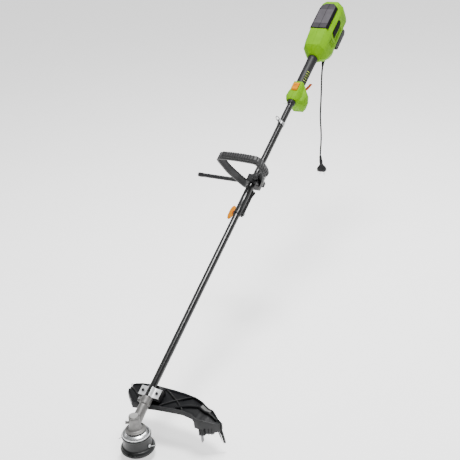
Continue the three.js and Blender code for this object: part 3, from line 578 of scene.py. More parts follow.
def make_handle():
    s = HANDLE_AT
    line = loop_line(4.2)
    # moulded band: flat inside, with a raised rim down both edges of its outer face
    rib = [(-16.5, -3.4), (-15.6, -4.1), (15.6, -4.1), (16.5, -3.4), (16.5, 3.2), (15.4, 4.2), (13.6, 4.2),
           (12.6, 1.6), (-12.6, 1.6), (-13.6, 4.2), (-15.4, 4.2), (-16.5, 3.2)]
    band = raw("loop_band", sweep(line, lambda t: rib, True, (0, 0, 1)))
    foot = eased(box("foot", 28.2, 38, -23, 23, s - 16, s + 14), 2)
    web = raw("web", section([(-24, -12), (-38, -8), (-59, 34), (-68, 76), (-54, 62), (-34, 40),
                              (-18, 20)], s + 2, s + 8))
    carve(band, [foot, web], "UNION")
    piece(rounded(band, 0.5, 2, 35), BAND, "loop_handle", body="front_handle")
    # rubber sleeve over the top and down the right arm, with cross ribs, on evenly spaced points
    run = [p for p in line if -p.x > 112 and p.y < 92 or (p.y < 0 and -p.x > 50)]
    at = [0.0]
    for p, q in zip(run, run[1:]):
        at.append(at[-1] + (q - p).length)
    fine = []
    for k in range(int(at[-1] / RUBBER_STEP)):
        d = k * RUBBER_STEP
        i = max(j for j in range(len(at)) if at[j] <= d)
        j = min(i + 1, len(run) - 1)
        fine.append(run[i].lerp(run[j], (d - at[i]) / max(1e-6, at[j] - at[i])))
    total = len(fine) * RUBBER_STEP

    def rubber(t):
        d = t * total
        high = RIB_HIGH if (d / RIB_PITCH) % 1 < RIB_SHARE else 0.0
        end = min(1.0, d / 6, (total - d) / 6)
        return [((11.4 + 1.6 * end + high * 0.3) * copysign(abs(x) ** 0.66, x),
                 (5 + high + 3 * end) * copysign(abs(y) ** 0.72, y) - 4.4 * end)
                for x, y in circle(1, 32)]

    grip = raw("loop_rubber", sweep(fine, rubber, False, (0, 0, 1)))
    piece(grip, RIBBED, "handle_grip", body="front_handle", sharp=40)
    # clamp round the tube
    stud = on_shaft(0, -20, s, "Y", -90)
    along_bar = on_shaft(BAR_UNDER, 0, s + BAR_AHEAD, "X", -90)

    def bored(half, extra):
        carve(eased(half, 3, 4), [extra], "UNION")
        return carve(half, [rod("bore", 12.3, s - 50, s + 50, 64)])

    top = bored(box("clamp_upper", -21, -0.3, -30, 20, s - 17, s + 17),
                raw("boss", lathe([(0, 10), (9, 10), (9, 23.8), (8, 24.8), (0, 24.8)], 48), stud))
    base = bored(box("clamp_lower", 0.3, 27.9, -26.6, 20, s - 17, s + 34),
                 eased(box("tail", 20, 60, -20, 20, s + 14.5, s + 36), 4, 4))
    carve(base, [rod("hole", 8.3, -40, 300, 48, place=along_bar)])
    for name, half in (("top", top), ("base", base)):
        piece(rounded(half, 0.5, 2, 50), BLACK, f"handle_clamp_{name}", body="front_handle")
    # barrier bar: grained tube with a rounded plug end and moulded rings
    bar = [(0, -19.6), (7.2, -19.6), (8, -18.6)]
    for k in range(16):
        z = 26 + k * 14
        bar += [(8, z), (7.55, z + 0.8), (7.55, z + 2.2), (8, z + 3)]
    bar += [(8, 250), (8.8, 250.8), (8.8, 266), (7.8, 269), (5, 270), (0, 270)]
    piece(raw("bar_look", lathe(bar, 56), along_bar), BLACK, "barrier_bar", body="front_handle")
    # lobed knob with a domed face
    rings = [[(*polar(q * (12.8 + 1.2 * cos(6 * a)), a), z) for a in (tau * k / 96 for k in range(96))]
             for z, q in ((25.4, 0.93), (26.2, 1), (35.4, 1), (37, 0.93), (37.2, 0.72), (39.2, 0.66),
                          (39.5, 0.58))]
    piece(raw("knob_look", loft(rings), stud), BLACK, "handle_knob", body="handle_screw")


make_handle()


# ---- motor housing ----
# stations: along, half width of roof, roof, side, upper crease, lower crease, half width of floor, floor
MOTOR = [
    (1646, 12, 26, 24, 10, -9, 12, -21), (1673, 30, 54, 46, 24, -22, 28, -41),
    (1712, 33, 60, 50, 31, -32, 30, -64), (1746, 34, 64, 50, 34, -34, 29, -77),
    (1786, 34, 64, 50, 34, -30, 28, -71), (1896, 34, 64, 50, 34, -30, 28, -65),
    (1918, 26, 57, 42, 28, -26, 24, -54), (1936, 16, 38, 27, 18, -18, 16, -34),
]
SWITCH = [
    (1408, 12, 18, 20, 7, -8, 12, -19), (1424, 16, 21, 35, -9, -40, 20, -76),
    (1446, 18, 22, 44, -9, -45, 22, -84), (1470, 19, 22, 39, -5, -35, 20, -67),
    (1488, 19, 21.6, 24, 3, -18, 14, -45), (1498, 18.5, 21, 21, 6, -12, 11, -40),
]
WAIST = [(20, 20), (23, 26), (23.5, 28), (23.5, 26), (23, 23.4), (21, 21)]
SEAM = 0.3
BUSH = on_shaft(-BUSH_TOP, CORD_Y / MM, BUSH_ALONG, "Y", BUSH_TURN)


def hull(stations, wall=0.0, ends=0.0, waist=None):
    """Faceted shell between its stations, drawn in by a wall. A waist adds a crease under the barrel."""
    rings = []
    for k, (s, roof_w, roof, side, hi, lo, floor_w, floor) in enumerate(stations):
        s += ends if k == 0 else -ends if k == len(stations) - 1 else 0
        half = [(roof_w - wall * 0.5, roof - wall), (side - wall, hi), (side - wall, lo),
                (floor_w - wall * 0.5, floor + wall)]
        if waist:
            barrel, fold = waist[k]
            half[1:1] = [(barrel - wall, 6), (fold - wall, hi + 5)]
        rings.append([(-u, y, s) for y, u in half + [(-y, u) for y, u in half[::-1]]])
    return loft(rings)


def halves(build, name):
    """Runs build() for each side and keeps the half on that side of the seam."""
    for side, lo, hi in (("left", SEAM, 90), ("right", -90, -SEAM)):
        shell = carve(build(), [box("keep", -120, 160, lo, hi, 1380, 2000)], "INTERSECT")
        shell.name = f"{name}_{side}_look"
        piece(rounded(shell, 0.35, 2, 50), LIME, f"{name}_{side}")


def slanted(s0, u0, long, high, lean, y0, y1):
    """A slot cut through a side wall: long down the machine, leaning as it goes."""
    return raw("slot", sideways([(s0, u0), (s0 + long, u0), (s0 + long - lean, u0 - high),
                                 (s0 - lean, u0 - high)], y0, y1))


def motor_shell():
    shell = eased(raw("shell", hull(MOTOR)), 1.8, 4, 9)
    cuts = [raw("inside", hull(MOTOR, 3.0, 3.2)),
            rod("mouth", 16.7, 1630, 1665, 64),
            rod("cord_hole", 6.5, -30, 40, 32, place=BUSH)]
    # shallow rebate round each badge and the step line ahead of it
    for y0, y1 in ((-56, -49.2), (49.2, 56)):
        cuts.append(raw("rebate", sideways([(1759, 0), (1830, 0), (1851.5, 12), (1842, 33.2), (1763, 33.2)],
                                           y0, y1)))
    # eight slanted slots below the badge, and a grid of smaller ones ahead of it
    for y0, y1 in ((-56, -44), (44, 56)):
        cuts += [slanted(1768 + 9.6 * k, -6, 5.6, 17, 5, y0, y1) for k in range(8)]
        cuts += [slanted(1715 + 11.5 * k + 2.2 * j, 22 - 9 * j, 8, 6, 2.6, y0, y1)
                 for k in range(3) for j in range(5 if k else 4)]
    return carve(shell, cuts)


def make_motor_housing():
    halves(motor_shell, "motor_housing")
    # near black sheet behind the vents: painted shade standing for the housing's dark inside
    for side, y0, y1 in (("left", 43.6, 44.8), ("right", -44.8, -43.6)):
        vent_shade = sideways([(1700, -24), (1858, -24), (1858, 26), (1700, 26)], y0, y1)
        piece(raw(f"screen_{side}", vent_shade), EDGE_BLACK_AND_VENT_SHADE)
    # roof cover: a black tray under three raised grey pads, split by the centre groove
    tray = section([(-38.8, 57.9), (-41.2, 59.3), (-32.6, 67.2), (32.6, 67.2), (41.2, 59.3), (38.8, 57.9),
                    (34.3, 64.4), (-34.3, 64.4)], 1754, 1895)
    cover = raw("cover_tray", tray)
    carve(cover, [box("corner", -90, -40, 0, 80, 0, 60, place=SHAFT @ shift(0, 18 * k, 1895)
                      @ Matrix.Scale(k, 4, (0, 1, 0)) @ turn("X", -42)) for k in (1, -1)])
    piece(rounded(cover, 0.7, 3), EDGE_BLACK_AND_VENT_SHADE, "top_cover", slot="grey_panel")
    for name, a, b, high, skin, corner in (
            ("front", 1755.4, 1779, 68.0, PANEL, [(1779, 31.4)]),
            ("middle", 1779.6, 1861, 68.35, PALE, [(1861, 31.4)]),
            ("rear", 1861.6, 1893.6, 68.0, PANEL, [(1893.6, 18.4), (1877.5, 31.4)])):
        for side, sign in SIDES:
            pad = loft([[(-u, sign * y, s) for s, y in [(b, 0.7), *corner, (a, 31.4), (a, 0.7)]]
                        for u in (66.6, high)])
            piece(rounded(raw(f"cover_{name}_{side}", pad), 0.5), skin)
    # badge: plain panel with a bevelled border
    plan = [(1762, 2), (1828, 2), (1848, 13), (1839, 31), (1766, 31)]
    for side, y0, y1 in (("left", 49.6, 52.1), ("right", -52.1, -49.6)):
        badge = raw(f"badge_{side}_look", sideways(plan, y0, y1))
        piece(rounded(badge, 0.9, 3), GLOSS, f"badge_{side}")
    # rear foot: block with a lighter grey strip along its toe and four moulded grooves
    foot = raw("foot_look", sideways([(1794, -71.2), (1788, -86), (1796, -94), (1884, -93), (1896, -83),
                                      (1890, -66.3)], -31, 31))
    carve(foot, [box("groove", 92.2, 97, -35, 35, 1812 + 18 * k, 1814.4 + 18 * k) for k in range(4)])
    piece(rounded(foot, 2, 4, 24), GUARD, "rear_foot")
    toe = rounded(raw("foot_toe", sideways([(1790, -87.4), (1797, -94.3), (1803, -94.3), (1797, -86.8)],
                                           -29.6, 29.6)), 1.2)
    piece(toe, PANEL)
    # ribbed strain relief
    sleeve = [(3.35, -9), (6.1, -9), (6.1, 5.4), (7.8, 6), (7.8, 8.2), (6.3, 9.2)]
    for k in range(5):
        z, r = 10.4 + 3 * k, 6.1 - 0.24 * k
        sleeve += [(r, z), (r, z + 1.5), (r - 0.9, z + 1.9), (r - 0.9, z + 2.8)]
    sleeve += [(4.7, BUSH_MOUTH - 0.4), (4.3, BUSH_MOUTH), (3.35, BUSH_MOUTH), (3.35, -9)]
    piece(raw("bush_look", lathe(sleeve, 48), BUSH), SOFT, "cord_bush", sharp=40)


# ---- rear grip and switch housing ----
def switch_shell():
    shell = eased(raw("shell", hull(SWITCH, waist=WAIST)), 1.8, 4, 9)
    cuts = [raw("inside", hull(SWITCH, 3.0, 3.0, WAIST)),
            rod("mouth", 12.4, 1400, 1430, 64),
            rod("tail", 16.8, 1488, 1520, 64),
            box("thumb", -40, -15, -12.4, 12.4, 1449, 1489),
            box("finger", 20, 60, -5.9, 5.9, 1489, 1520)]
    # two pressed lines down each cheek of the lobe
    for y0, y1 in ((-60, -36), (36, 60)):
        cuts.append(raw("line", sideways([(1428, -38), (1429, -38), (1452, -66), (1451, -66)], y0, y1)))
    return carve(shell, cuts)


def make_grip():
    halves(switch_shell, "switch_housing")
    a, b = GRIP
    # the core shows through the sleeve's slots and channel in the paler lime: painted light where it lies
    # in shade
    core = raw("core_look", lathe([(9, 1491), (16.2, 1491), (16.4, 1491.4), (16.4, 1661.6), (16.2, 1662),
                                   (9, 1662), (9, 1491)], 72))
    strip = eased(box("strip", 13, 23.6, -6.6, 6.6, a + 0.4, b - 0.4), 1.4)
    carve(core, [strip], "UNION")
    piece(core, PAINTED_LIGHT_LIME, "grip_core")
    outside = [(16.7, a), (18.8, a), (19.5, a + 0.8), (19.2, a + 4), (19.2, a + 88), (19.5, b - 24),
               (20.4, b - 13), (20.5, b - 1), (19.8, b), (16.7, b), (16.7, a)]
    sleeve = raw("sleeve_look", lathe(outside, 96))
    cuts = [box("channel", 10, 30, -7, 7, a - 1, b + 1)]
    for y0, y1 in ((-24, -7), (7, 24)):
        cuts += [box("slot", -15.5, 4, y0, y1, 1513 + 12 * k, 1517.4 + 12 * k) for k in range(5)]
    carve(sleeve, cuts)
    piece(rounded(sleeve, 0.6, 3, 50), SOFT, "grip_sleeve", slot="black_plastic")
    # lock-off slider: amber saddle with a darker lip and two thumb grooves
    thumb = raw("lock_look", sideways([(1450.2, 18.6), (1449.8, 24.6), (1454, 28.3), (1478, 30.3),
                                       (1487.4, 25), (1488.2, 18.6)], -11.9, 11.9))
    carve(thumb, [box("groove", -32, -28.7, -9, 9, s, s + 1.6) for s in (1463, 1468, 1473)])
    piece(rounded(thumb, 1.5, 4), AMBER, "lock_off_button", body="lock_off")
    lip = rounded(box("lock_lip", -23.6, -19.4, -11.7, 11.7, 1448.8, 1452), 0.8)
    piece(lip, ORANGE, body="lock_off")
    upper = [(1491, -26.2), (1499, -26.2), (1512, -42), (1534, -57), (1574, -71.7)]
    lower = [(1573, -75.3), (1531, -61), (1508, -47), (1494.4, -35)]
    blade = smooth_line([(*p, 0) for p in upper], 5) + smooth_line([(*p, 0) for p in lower], 5)
    trigger = raw("trigger_look", sideways([(p.x, p.y) for p in blade], -5.4, 5.4))
    piece(rounded(trigger, 0.9, 3, 30), ORANGE, "trigger", body="trigger_lever")


make_motor_housing()
make_grip()


# ---- plug ----
def make_plug():
    at = shift(1437.2, CORD_Y / MM, 522.8) @ turn("Y", 172)
    tail = [(0, 0.2), (4.5, 0.2), (5, 1)]
    for k in range(6):
        z, r = 2 + 5 * k, 5 + 0.45 * k
        tail += [(r, z), (r + 0.2, z + 2.8), (r - 1.1, z + 3.3), (r - 1.0, z + 4.6)]
    tail += [(7.4, 33), (7.2, 36), (6.2, 40), (6.2, 50), (0, 50)]
    body = raw("plug_look", lathe(tail, 48), at)

    def face(w, d, z):
        return [(d * copysign(abs(x) ** 0.62, x), w * copysign(abs(y) ** 0.62, y), z)
                for x, y in (polar(1, tau * (k + 0.5) / 48) for k in range(48))]

    head = raw("head", loft([face(*row) for row in (
        (7, 7, 41), (9, 8, 46), (13, 9.6, 50.5), (17.6, 11.4, 55), (19.6, 13, 60), (20, 13.5, 64),
        (20, 13.5, 70.4), (19.2, 12.8, 71.6), (18, 11.6, 72))]), at)
    carve(body, [head], "UNION")
    carve(body, [rod("hole", 2.6, 58, 90, 32, place=at @ shift(0, y, 0)) for y in (-PIN_OUT, PIN_OUT)])
    piece(rounded(body, 0.3, 2, 50), SOFT, "plug_body", sharp=40)
    for side, sign in SIDES:
        pin = lathe([(0, 60.4), (2.4, 60.4), (2.4, 89.4), (2.1, 90.4), (1.5, 91), (0, 91)], 32)
        piece(raw(f"pin_{side}", pin, at @ shift(0, sign * PIN_OUT, 0)), STEEL, f"plug_pin_{side}")


make_plug()


# ---- cutting head ----
def make_gear_case():
    barrel = lathe([(0, 103), (34, 103), (34.5, 104.4), (33, 106.8), (25, 107.8), (22, 110), (20, 115),
                    (18.6, 128), (18.1, 150), (17.3, 151), (17.3, 155.6), (16, 157.2), (0, 157.3)], 72)
    case = raw("gear_case_look", barrel, WORLD)
    parts = [raw("neck", lathe([(0, 8), (17.5, 8), (16.2, 66), (0, 66)], 64)),
             rod("waist", 15.7, 60, 72, 64),
             raw("collar", disc(19.2, 70, 96, 72, 0.9)),
             box("ear", -7, 7, 14, 28, 74, 91),
             raw("web", sideways([(14, -18), (52, -15), (40, -24), (22, -30)], -3, 3))]
    side = shift(0, 0, HEAD_HEIGHT + 5) @ turn("Z", 121) @ turn("Y", 83)
    parts += [rod("plug", 4.6, 14, 27, 32, place=side), raw("plug_head", hexagon(6.3, 26, 30.5), side)]
    carve(case, [eased(part, 0.8, 2) for part in parts], "UNION")
    fuse = case.modifiers.new("fuse", "REMESH")
    fuse.mode, fuse.voxel_size, fuse.adaptivity = "VOXEL", 0.8 * MM, 0.0
    calm = case.modifiers.new("calm", "SMOOTH")
    calm.factor, calm.iterations = 0.5, 2
    bake(case)
    # fine features the smoothing would eat: bores, split slot and cap joint
    carve(case, [rod("chamber", 14.9, 108, 146, 48, place=WORLD),
                 rod("spindle", 5.4, 90, 120, 32, place=WORLD),
                 rod("drive", 11.4, 9, 51, 48), rod("bore", 12.3, 50, 110, 64),
                 box("slot", -0.8, 0.8, 10, 31, 66, 98),
                 rod("bolt", 2.3, -12, 12, 24, place=on_shaft(0, 23, 83, "Y", 90)),
                 raw("joint", lathe([(17.5, 149.6), (20, 149.6), (20, 150.3), (17.5, 150.3),
                                     (17.5, 149.6)], 72), WORLD)])
    piece(case, ALLOY, "gear_case", sharp=45)
    # cap disc on the case, lighter than the casting: painted light on its upward face
    piece(raw("case_cap", disc(14.6, 155.4, 157.9, 64, 0.7), WORLD), PAINTED_LIT_ALLOY)
    bolt = disc(2.1, -7.2, 9, 24) + hexagon(4, 7.4, 11)
    piece(raw("clamp_bolt", bolt, on_shaft(0, 23, 83, "Y", -90)), STEEL, "gear_clamp_bolt")


def eye_axis(deg):
    """Frame of an eyelet: +Z leads out of the head."""
    return shift(0, 0, LINE_HEIGHT) @ turn("Z", deg) @ turn("Y", 90)


def make_head():
    cup = [(5.35, 99.2), (32, 99.2), (34.5, 98.9), (37, 98), (40.5, 95.9), (43.5, 94), (45, 92.6), (46, 91),
           (46.35, 89.6), (46.4, 87.4), (45, 87.2), (44.4, 87.6), (44, 90.2), (42, 92.4), (36.4, 96.2),
           (32, 97.2), (5.35, 97.2), (5.35, 99.2)]
    piece(raw("cup_look", lathe(cup, 128), WORLD), SPUN, "dust_cup", body="cutting_head")
    # drum: rounded rim, waist, stepped and grooved flange, open foot
    shell = [(5.35, 86.8), (46.6, 86.8), (47.8, 86.3), (48.8, 84.6), (49, 82), (48.4, 80.4), (47, 79.2),
             (46.6, 77), (46.4, 60), (46.8, 52), (47.4, 47.4), (50.2, 44.6), (52, 43.8), (52.6, 42.2),
             (54.4, 40.4), (56.4, 38.2), (57.1, 36), (57.2, 34.4), (56.2, 33.6), (56.2, 32.6), (57.1, 31.8),
             (57, 30), (55.6, 28), (49, 21), (38, 18.2), (28.4, 16), (28.4, 20), (52, 31), (43.4, 46),
             (43.4, 83), (5.35, 83), (5.35, 86.8)]
    drum = raw("drum_look", lathe(shell, 144), WORLD)
    eyes = [rod("eye", 3.3, 40, 60, 32, place=eye_axis(a)) for _, a in LINE_TURNS]
    # two stepped thumb pads let into the flange
    pads = [box("pad", 52.4 - 0.8 * k, 60, -13 + 1.5 * k, 13 - 1.5 * k, 33.6 + 3 * k, 35.2 + 3 * k,
                place=turn("Z", a)) for a in (190, 10) for k in range(4)]
    carve(drum, eyes + pads)
    piece(drum, DRUM, "spool_housing", body="cutting_head", sharp=35)
    knob = [(0, 0), (17, 0), (19, 0.5), (23, 2), (25.4, 4.6), (26.5, 7), (27.2, 10), (27.4, 14), (27.4, 30),
            (8, 36.8), (5.35, 36.8), (5.35, 24), (0, 24)]
    piece(raw("knob_foot", lathe(knob, 80), WORLD), BLACK, "bump_knob", body="bump")
    for name, a in LINE_TURNS:
        ferrule = [(1.7, 43.8), (2.9, 43.8), (2.9, 48.2), (5, 48.4), (5.3, 49.2), (4.8, 50.2), (3.6, 50.7),
                   (2.4, 50.4), (1.7, 49.2), (1.7, 43.8)]
        piece(raw(f"ferrule_{name}", lathe(ferrule, 40), eye_axis(a)), STEEL, f"eyelet_{name}",
              body="cutting_head")
        line = [(*polar(r, radians(a + d)), z)
                for r, d, z in ((41, 0, LINE_HEIGHT), (50, 0, LINE_HEIGHT), (58, 5, 52.3), (68, 12, 51.5))]
        piece(raw(f"line_{name}", wire(line, 1.2, 10, False, 14), WORLD), LINE, f"line_end_{name}",
              body="cutting_head")


def screw_axis(y):
    """Frame of a guard screw: +Z points to the underside of the shaft."""
    return on_shaft(0, y, SCREW_ALONG, "Y", 90)


def screw_holes(start, end):
    return [rod("hole", 2.6, start, end, 32, place=screw_axis(y)) for y in (-SCREW_OUT, SCREW_OUT)]


def make_bracket():
    a, b = BRACKET

    def arc(r, start, stop):
        return [polar(r, radians(start + (stop - start) * k / 28)) for k in range(29)]

    ro, ri = TUBE_R + 2.9, TUBE_R + 0.35
    plate = raw("bracket_top", section([(39, 0.4), (39, 2.8), (ro + 1.2, 2.8), *arc(ro, 14, 166),
                                        (-ro - 1.2, 2.8), (-39, 2.8), (-39, 0.4), (-ri, 0.4),
                                        *arc(ri, 175, 5), (ri, 0.4)], a, b))
    # open strip over the tube between the two straps
    carve(plate, [box("window", -20, -8, -6.4, 6.4, a - 2, b + 2), *screw_holes(-8, 30)])
    piece(rounded(plate, 0.7, 3, 40), PLATE, "guard_bracket_top")
    base = eased(box("bracket_under", 0.3, 22, -39.5, 39.5, a - 2, b + 2), 2, 4)
    carve(base, [rod("bore", 12.35, a - 6, b + 6, 64), *screw_holes(-8, 30)])
    piece(base, BLACK, "guard_bracket_base")
    for side, sign in SIDES:
        screw = lathe([(0, -5), (2.6, -5), (2.6, -6.6), (4.1, -6.8), (4.7, -6.4), (4.8, -5.6), (4.8, -3.2),
                       (2.2, -3.1), (2.2, 32.4), (1.6, 33), (0, 33)], 40)
        axis = screw_axis(sign * SCREW_OUT)
        obj = carve(raw(f"screw_{side}", screw, axis), [raw("socket", hexagon(2.9, -8, -4.4), axis)])
        piece(obj, IRON, f"guard_screw_{side}")


make_gear_case()
make_head()
make_bracket()


# ---- guard ----
# stations across the machine: y, front edge, rear edge, plate height, front lip drop, rear lip drop
GUARD_AT = [
    (112, 130, 154, 145, 16, 12), (103, 112, 161, 147, 20, 13), (82, 92, 170, 148, 20, 12),
    (52, 64, 176, 148, 18, 12), (28, 66, 178, 148, 15, 12), (-34, 79, 180, 148, 14, 10),
    (-86, 87, 179, 148, 14, 10), (-126, 93, 175, 147, 14, 12), (-160, 92, 166, 143, 14, 16),
    (-171, 86, 160, 141, 14, 18), (-173, 85, 159, 141, 37, 18), (-188, 84, 153, 138, 34, 22),
    (-190, 84, 152, 138, 58, 22), (-206, 88, 150, 136, 53, 25), (-209, 89, 149, 135, 47, 26),
    (-234, 101, 132, 125, 39, 26), (-237, 103, 130, 124, 32, 26), (-250, 117, 126, 118, 27, 22),
]
# how far the plate arches up, lies sunk inside its border, and its thickness
ARCH, SUNK, THICK = 4, 5.0, 3.2
# cross section of a rib: across in half widths, and up in heights where it is above the plate
RIB = [(-1, -SUNK - 1), (1, -SUNK - 1), (0.86, 0.7), (0.6, 0.94), (0, 1), (-0.6, 0.94), (-0.86, 0.7)]


def guard_at(p):
    """Station values at a fractional station number."""
    k = min(int(p), len(GUARD_AT) - 2)
    f = p - k
    return [v + (w - v) * f for v, w in zip(GUARD_AT[k], GUARD_AT[k + 1])]


def plate_point(station, t, lift=0.0):
    """A point t of the way across the arched plate, from its front edge to its rear edge."""
    y, front, rear, z = station[:4]
    return Vector((front + (rear - front) * t, y, z + ARCH * sin(pi * t) + lift))


def guard_rib(p0, t0, p1, t1, half, high, n=22):
    """A rib with rounded shoulders laid over the plate from one point of it to another."""
    run = [plate_point(guard_at(p0 + (p1 - p0) * k / n), t0 + (t1 - t0) * k / n) for k in range(n + 1)]
    rings = []
    for k, q in enumerate(run):
        d = run[min(k + 1, n)] - run[max(k - 1, 0)]
        side = Vector((-d.y, d.x, 0)).normalized()
        end = min(1.0, k / 1.5 + 0.25, (n - k) / 1.5 + 0.25)
        rings.append([q + side * half * x + Vector((0, 0, z if z < 0 else high * z * end))
                      for x, z in RIB])
    return raw("rib", loft(rings), WORLD)


def make_guard():
    stops = [0, 0.05, 0.09, 0.2, 0.35, 0.5, 0.65, 0.8, 0.91, 0.95, 1]
    lifts = [1.2, 1.6, *[-SUNK] * 7, 1.6, 1.2]
    rings = []
    for k in range(len(GUARD_AT) - 1):
        # a sharp step in the outline has its two stations close together
        parts = 1 if abs(GUARD_AT[k][0] - GUARD_AT[k + 1][0]) < 3 else 5
        rings += [guard_at(k + j / parts) for j in range(parts)]
    rings.append(guard_at(len(GUARD_AT) - 1.0001))
    made = []
    for y, front, rear, z, drop_f, drop_r in rings:
        # the plate lies sunk inside a border along both edges
        top = [plate_point((y, front, rear, z), t, lift) for t, lift in zip(stops, lifts)]
        under = [(front + THICK + (rear - front - 2 * THICK) * t, y,
                  z + ARCH * sin(pi * t) - SUNK - THICK) for t in stops]
        made.append([(front - 1.5, y, z - drop_f), (front - 1.2, y, z - 2), *top,
                     (rear + 1.2, y, z - 2), (rear + 1.5, y, z - drop_r),
                     (rear + 1.5 - THICK, y, z - drop_r), *under[::-1],
                     (front + THICK - 1.5, y, z - drop_f)])
    body = raw("guard_look", loft(made), WORLD)
    braces = [guard_rib(*row, 1.5, 2.4) for row in (
        (5.1, 0.08, 6.8, 0.94), (4.7, 0.92, 6.9, 0.08), (0.8, 0.5, 3.4, 0.3))]
    joins = [guard_rib(*row) for row in (
        (6.2, 0.1, 8.2, 0.62, 3.6, 5.2), (8.2, 0.62, 15.6, 0.6, 3.6, 5.2, 40),
        (6.8, 0.94, 13, 0.9, 3, 5, 30), (6.8, 0.94, 6.2, 0.6, 2.6, 3.4))]
    y, front, rear, z = GUARD_AT[-1][:4]
    joins.append(box("end", front + 0.5, rear - 0.5, y - 3.4, y + 1.2, z - 22, z + 1, place=WORLD))
    prong = [[(x + i * w / 2, y + j, z) for i, j in ((-1, -2.2), (1, -2.2), (1, 5), (-1, 5))]
             for x, y, z, w in ((121, -246, 116, 8), (123, -249, 90, 7), (126, -253, 62, 6),
                                (128, -255.6, 38, 5))]
    joins.append(raw("prong", loft(prong), WORLD))
    # flutes down the deep part of the skirt
    for k in range(9):
        p = 11.9 + 0.36 * k
        y, front, rear, z, drop, _ = guard_at(min(p, 15.8))
        joins.append(box("flute", front - 3.2, front + 0.6, y - 1.1, y + 1.1,
                         z - drop - 2.5, z - drop + 22, place=WORLD))
    joins.append(carve(box("saddle", 98, 142, -30, 30, 146, 200, place=WORLD),
                       [box("under", -60, 22.3, -60, 60, 40, 220)]))
    carve(body, [rod("neck", 21.5, 30, 110, 64),
                 box("room", -12, 12, 0, 32, 60, 97), *screw_holes(-3, 36)])
    for part in (body, *joins, *braces):
        eased(part, 0.5, 2, 42)
    merge(body, joins)
    piece(body, GUARD, "guard", sharp=38)
    # the thin braces take the skirt's lighter grey: painted highlights along their edges
    piece(merge(braces[0], braces[1:]), PAINTED_SHEEN_GREY, sharp=38)
    # front skirt and the border over it, lighter than the guard: painted sheen where the black plastic
    # curves down into the light
    skirt = [[(front + x, y, z + h)
              for x, h in ((-2.1, -drop + 0.2), (-2.1, -1.6), (-0.6, 1.8), (2.2, 2.2), (2.2, 0.9), (0, 0),
                           (-1, -2), (-1, -drop + 0.2))]
             for y, front, _, z, drop, _ in rings]
    piece(raw("guard_skirt_painted_sheen", loft(skirt), WORLD), PAINTED_SHEEN_GREY, sharp=38)
    # pale grey patch behind the thick rib: its gloss is modelled, its pale colour is a painted reflection
    # on the black plastic
    patch = [[plate_point(guard_at(8.6 + k * 0.36), t, lift)
              for t, lift in ((0.69, -SUNK - 1), (0.88, -SUNK - 1), (0.88, 1.6), (0.69, 1.6))]
             for k in range(13)]
    piece(raw("guard_painted_reflection", loft(patch), WORLD), PAINTED_REFLECTION)
    loop = [(146 + 4 * x, 110.6, 148 + 5 * z) for x, z in circle(1, 12)]
    piece(raw("guard_loop", wire(loop, 1.1, 4, True, 10), WORLD), STEEL)
    # steel line cutter behind the skirt, and the heel of it that shows by the guard's tip
    edge = [(-189, 128), (-200, 128), (-200, 56), (-193, 45), (-190, 48), (-189, 60)]
    blade = raw("blade_look", loft([[(x, y, z) for y, z in edge] for x in (90, 91.6)]), WORLD)
    piece(rounded(blade, 0.3, 2), WIRE, "line_cutter")
    heel = raw("blade_heel", loft([[(x, y, z) for y, z in ((-233, 98), (-244.5, 98), (-252, 50))]
                                   for x in (117, 118.6)]), WORLD)
    piece(rounded(heel, 0.3, 2), WIRE)


make_guard()


# ---- carried over CAD nodes ----
def soften_group():
    """Geometry nodes that weld a CAD mesh and shade its shallow edges smooth."""
    group = bpy.data.node_groups.new("soften", "GeometryNodeTree")
    for way in ("INPUT", "OUTPUT"):
        group.interface.new_socket("Geometry", in_out=way, socket_type="NodeSocketGeometry")
    new, link = group.nodes.new, group.links.new
    start, end = new("NodeGroupInput"), new("NodeGroupOutput")
    weld = new("GeometryNodeMergeByDistance")
    weld.inputs["Distance"].default_value = 1e-6
    faces, edges = new("GeometryNodeSetShadeSmooth"), new("GeometryNodeSetShadeSmooth")
    faces.domain, edges.domain = "FACE", "EDGE"
    angle = new("GeometryNodeInputMeshEdgeAngle")
    shallow = new("FunctionNodeCompare")
    shallow.data_type, shallow.operation = "FLOAT", "LESS_THAN"
    shallow.inputs[1].default_value = radians(30)
    link(start.outputs[0], weld.inputs["Geometry"])
    link(weld.outputs["Geometry"], faces.inputs["Geometry"])
    link(faces.outputs["Geometry"], edges.inputs["Geometry"])
    link(angle.outputs["Unsigned Angle"], shallow.inputs[0])
    link(shallow.outputs["Result"], edges.inputs["Shade Smooth"])
    link(edges.outputs["Geometry"], end.inputs[0])
    return group


def carry_over():
    """Every CAD node keeps its shape and takes the look of its slot."""
    soften = soften_group()
    slots = {part["node"]: part["material_slot"] for part in frame["record"]["subparts"]}
    for name, node in frame["nodes"].items():
        node.data.materials.clear()
        node.data.materials.append(SLOTS[slots[name]][0])
        node.modifiers.new("soften", "NODES").node_group = soften


carry_over()


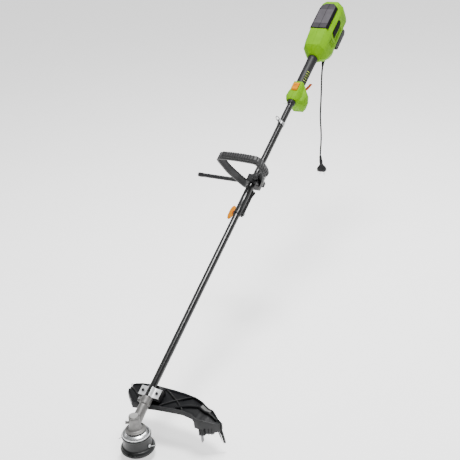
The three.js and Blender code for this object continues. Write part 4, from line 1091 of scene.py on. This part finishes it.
# ---- stage ----
FLOOR = 30000
STRIP_LONG = 3.2
LAMPS = [
    # name, place, aim, watts, size, whether a strip
    ("key", (0.4, -0.5, 4.2), (0.9, 0, 0.6), 270, 1.2, False),
    ("top", (2.0, -0.25, 3.3), (1.5, 0, 1.0), 75, 0.9, False),
    ("left_strip", (1.09, 2.2, 2.43), (0.9, 0, 0.65), 12, 0.2, True),
    ("right_strip", (1.82, -2.6, 1.3), (1.0, 0, 0.7), 17, 0.34, True),
]


def make_stage():
    """Pale floor, pale surroundings and four soft lamps."""
    look = Look("floor", 0.6)
    look.colour(look.noise(3), (0.88, 0.88, 0.88), (0.90, 0.90, 0.90))
    fill(look.shader, {"Emission Color": (1, 1, 1, 1), "Emission Strength": 1.0})
    floor = box("floor", -FLOOR, FLOOR, -FLOOR, FLOOR, -2, 0, place=WORLD)
    floor.data.materials.append(look.material)
    world = bpy.data.worlds.new("studio")
    world.use_nodes = True
    # seen directly the surroundings are as pale as the floor; as a light they stay dim
    new, link = world.node_tree.nodes.new, world.node_tree.links.new
    mix = new("ShaderNodeMixShader")
    link(new("ShaderNodeLightPath").outputs["Is Camera Ray"], mix.inputs["Fac"])
    for node, strength, slot in ((world.node_tree.nodes["Background"], 0.42, 1),
                                 (new("ShaderNodeBackground"), 1.6, 2)):
        fill(node, {"Color": (1, 1, 1, 1), "Strength": strength})
        link(node.outputs["Background"], mix.inputs[slot])
    link(mix.outputs["Shader"], world.node_tree.nodes["World Output"].inputs["Surface"])
    bpy.context.scene.world = world
    along = SHAFT.to_3x3() @ Vector((0, 0, 1))
    for name, at, aim, power, size, strip in LAMPS:
        data = bpy.data.lights.new(name, "AREA")
        data.energy, data.size = power, size
        lamp = added(name, data)
        facing = (Vector(at) - Vector(aim)).normalized()
        if strip:
            # long soft box lying along the shaft, for one unbroken highlight down the tube
            data.shape, data.size_y = "RECTANGLE", STRIP_LONG
            facing = (facing - along * facing.dot(along)).normalized()
            wide = along.cross(facing)
            lamp.matrix_world = shift(*at) @ Matrix((wide, along, facing)).transposed().to_4x4()
        else:
            lamp.location, lamp.rotation_euler = at, facing.to_track_quat("Z", "Y").to_euler()


make_stage()
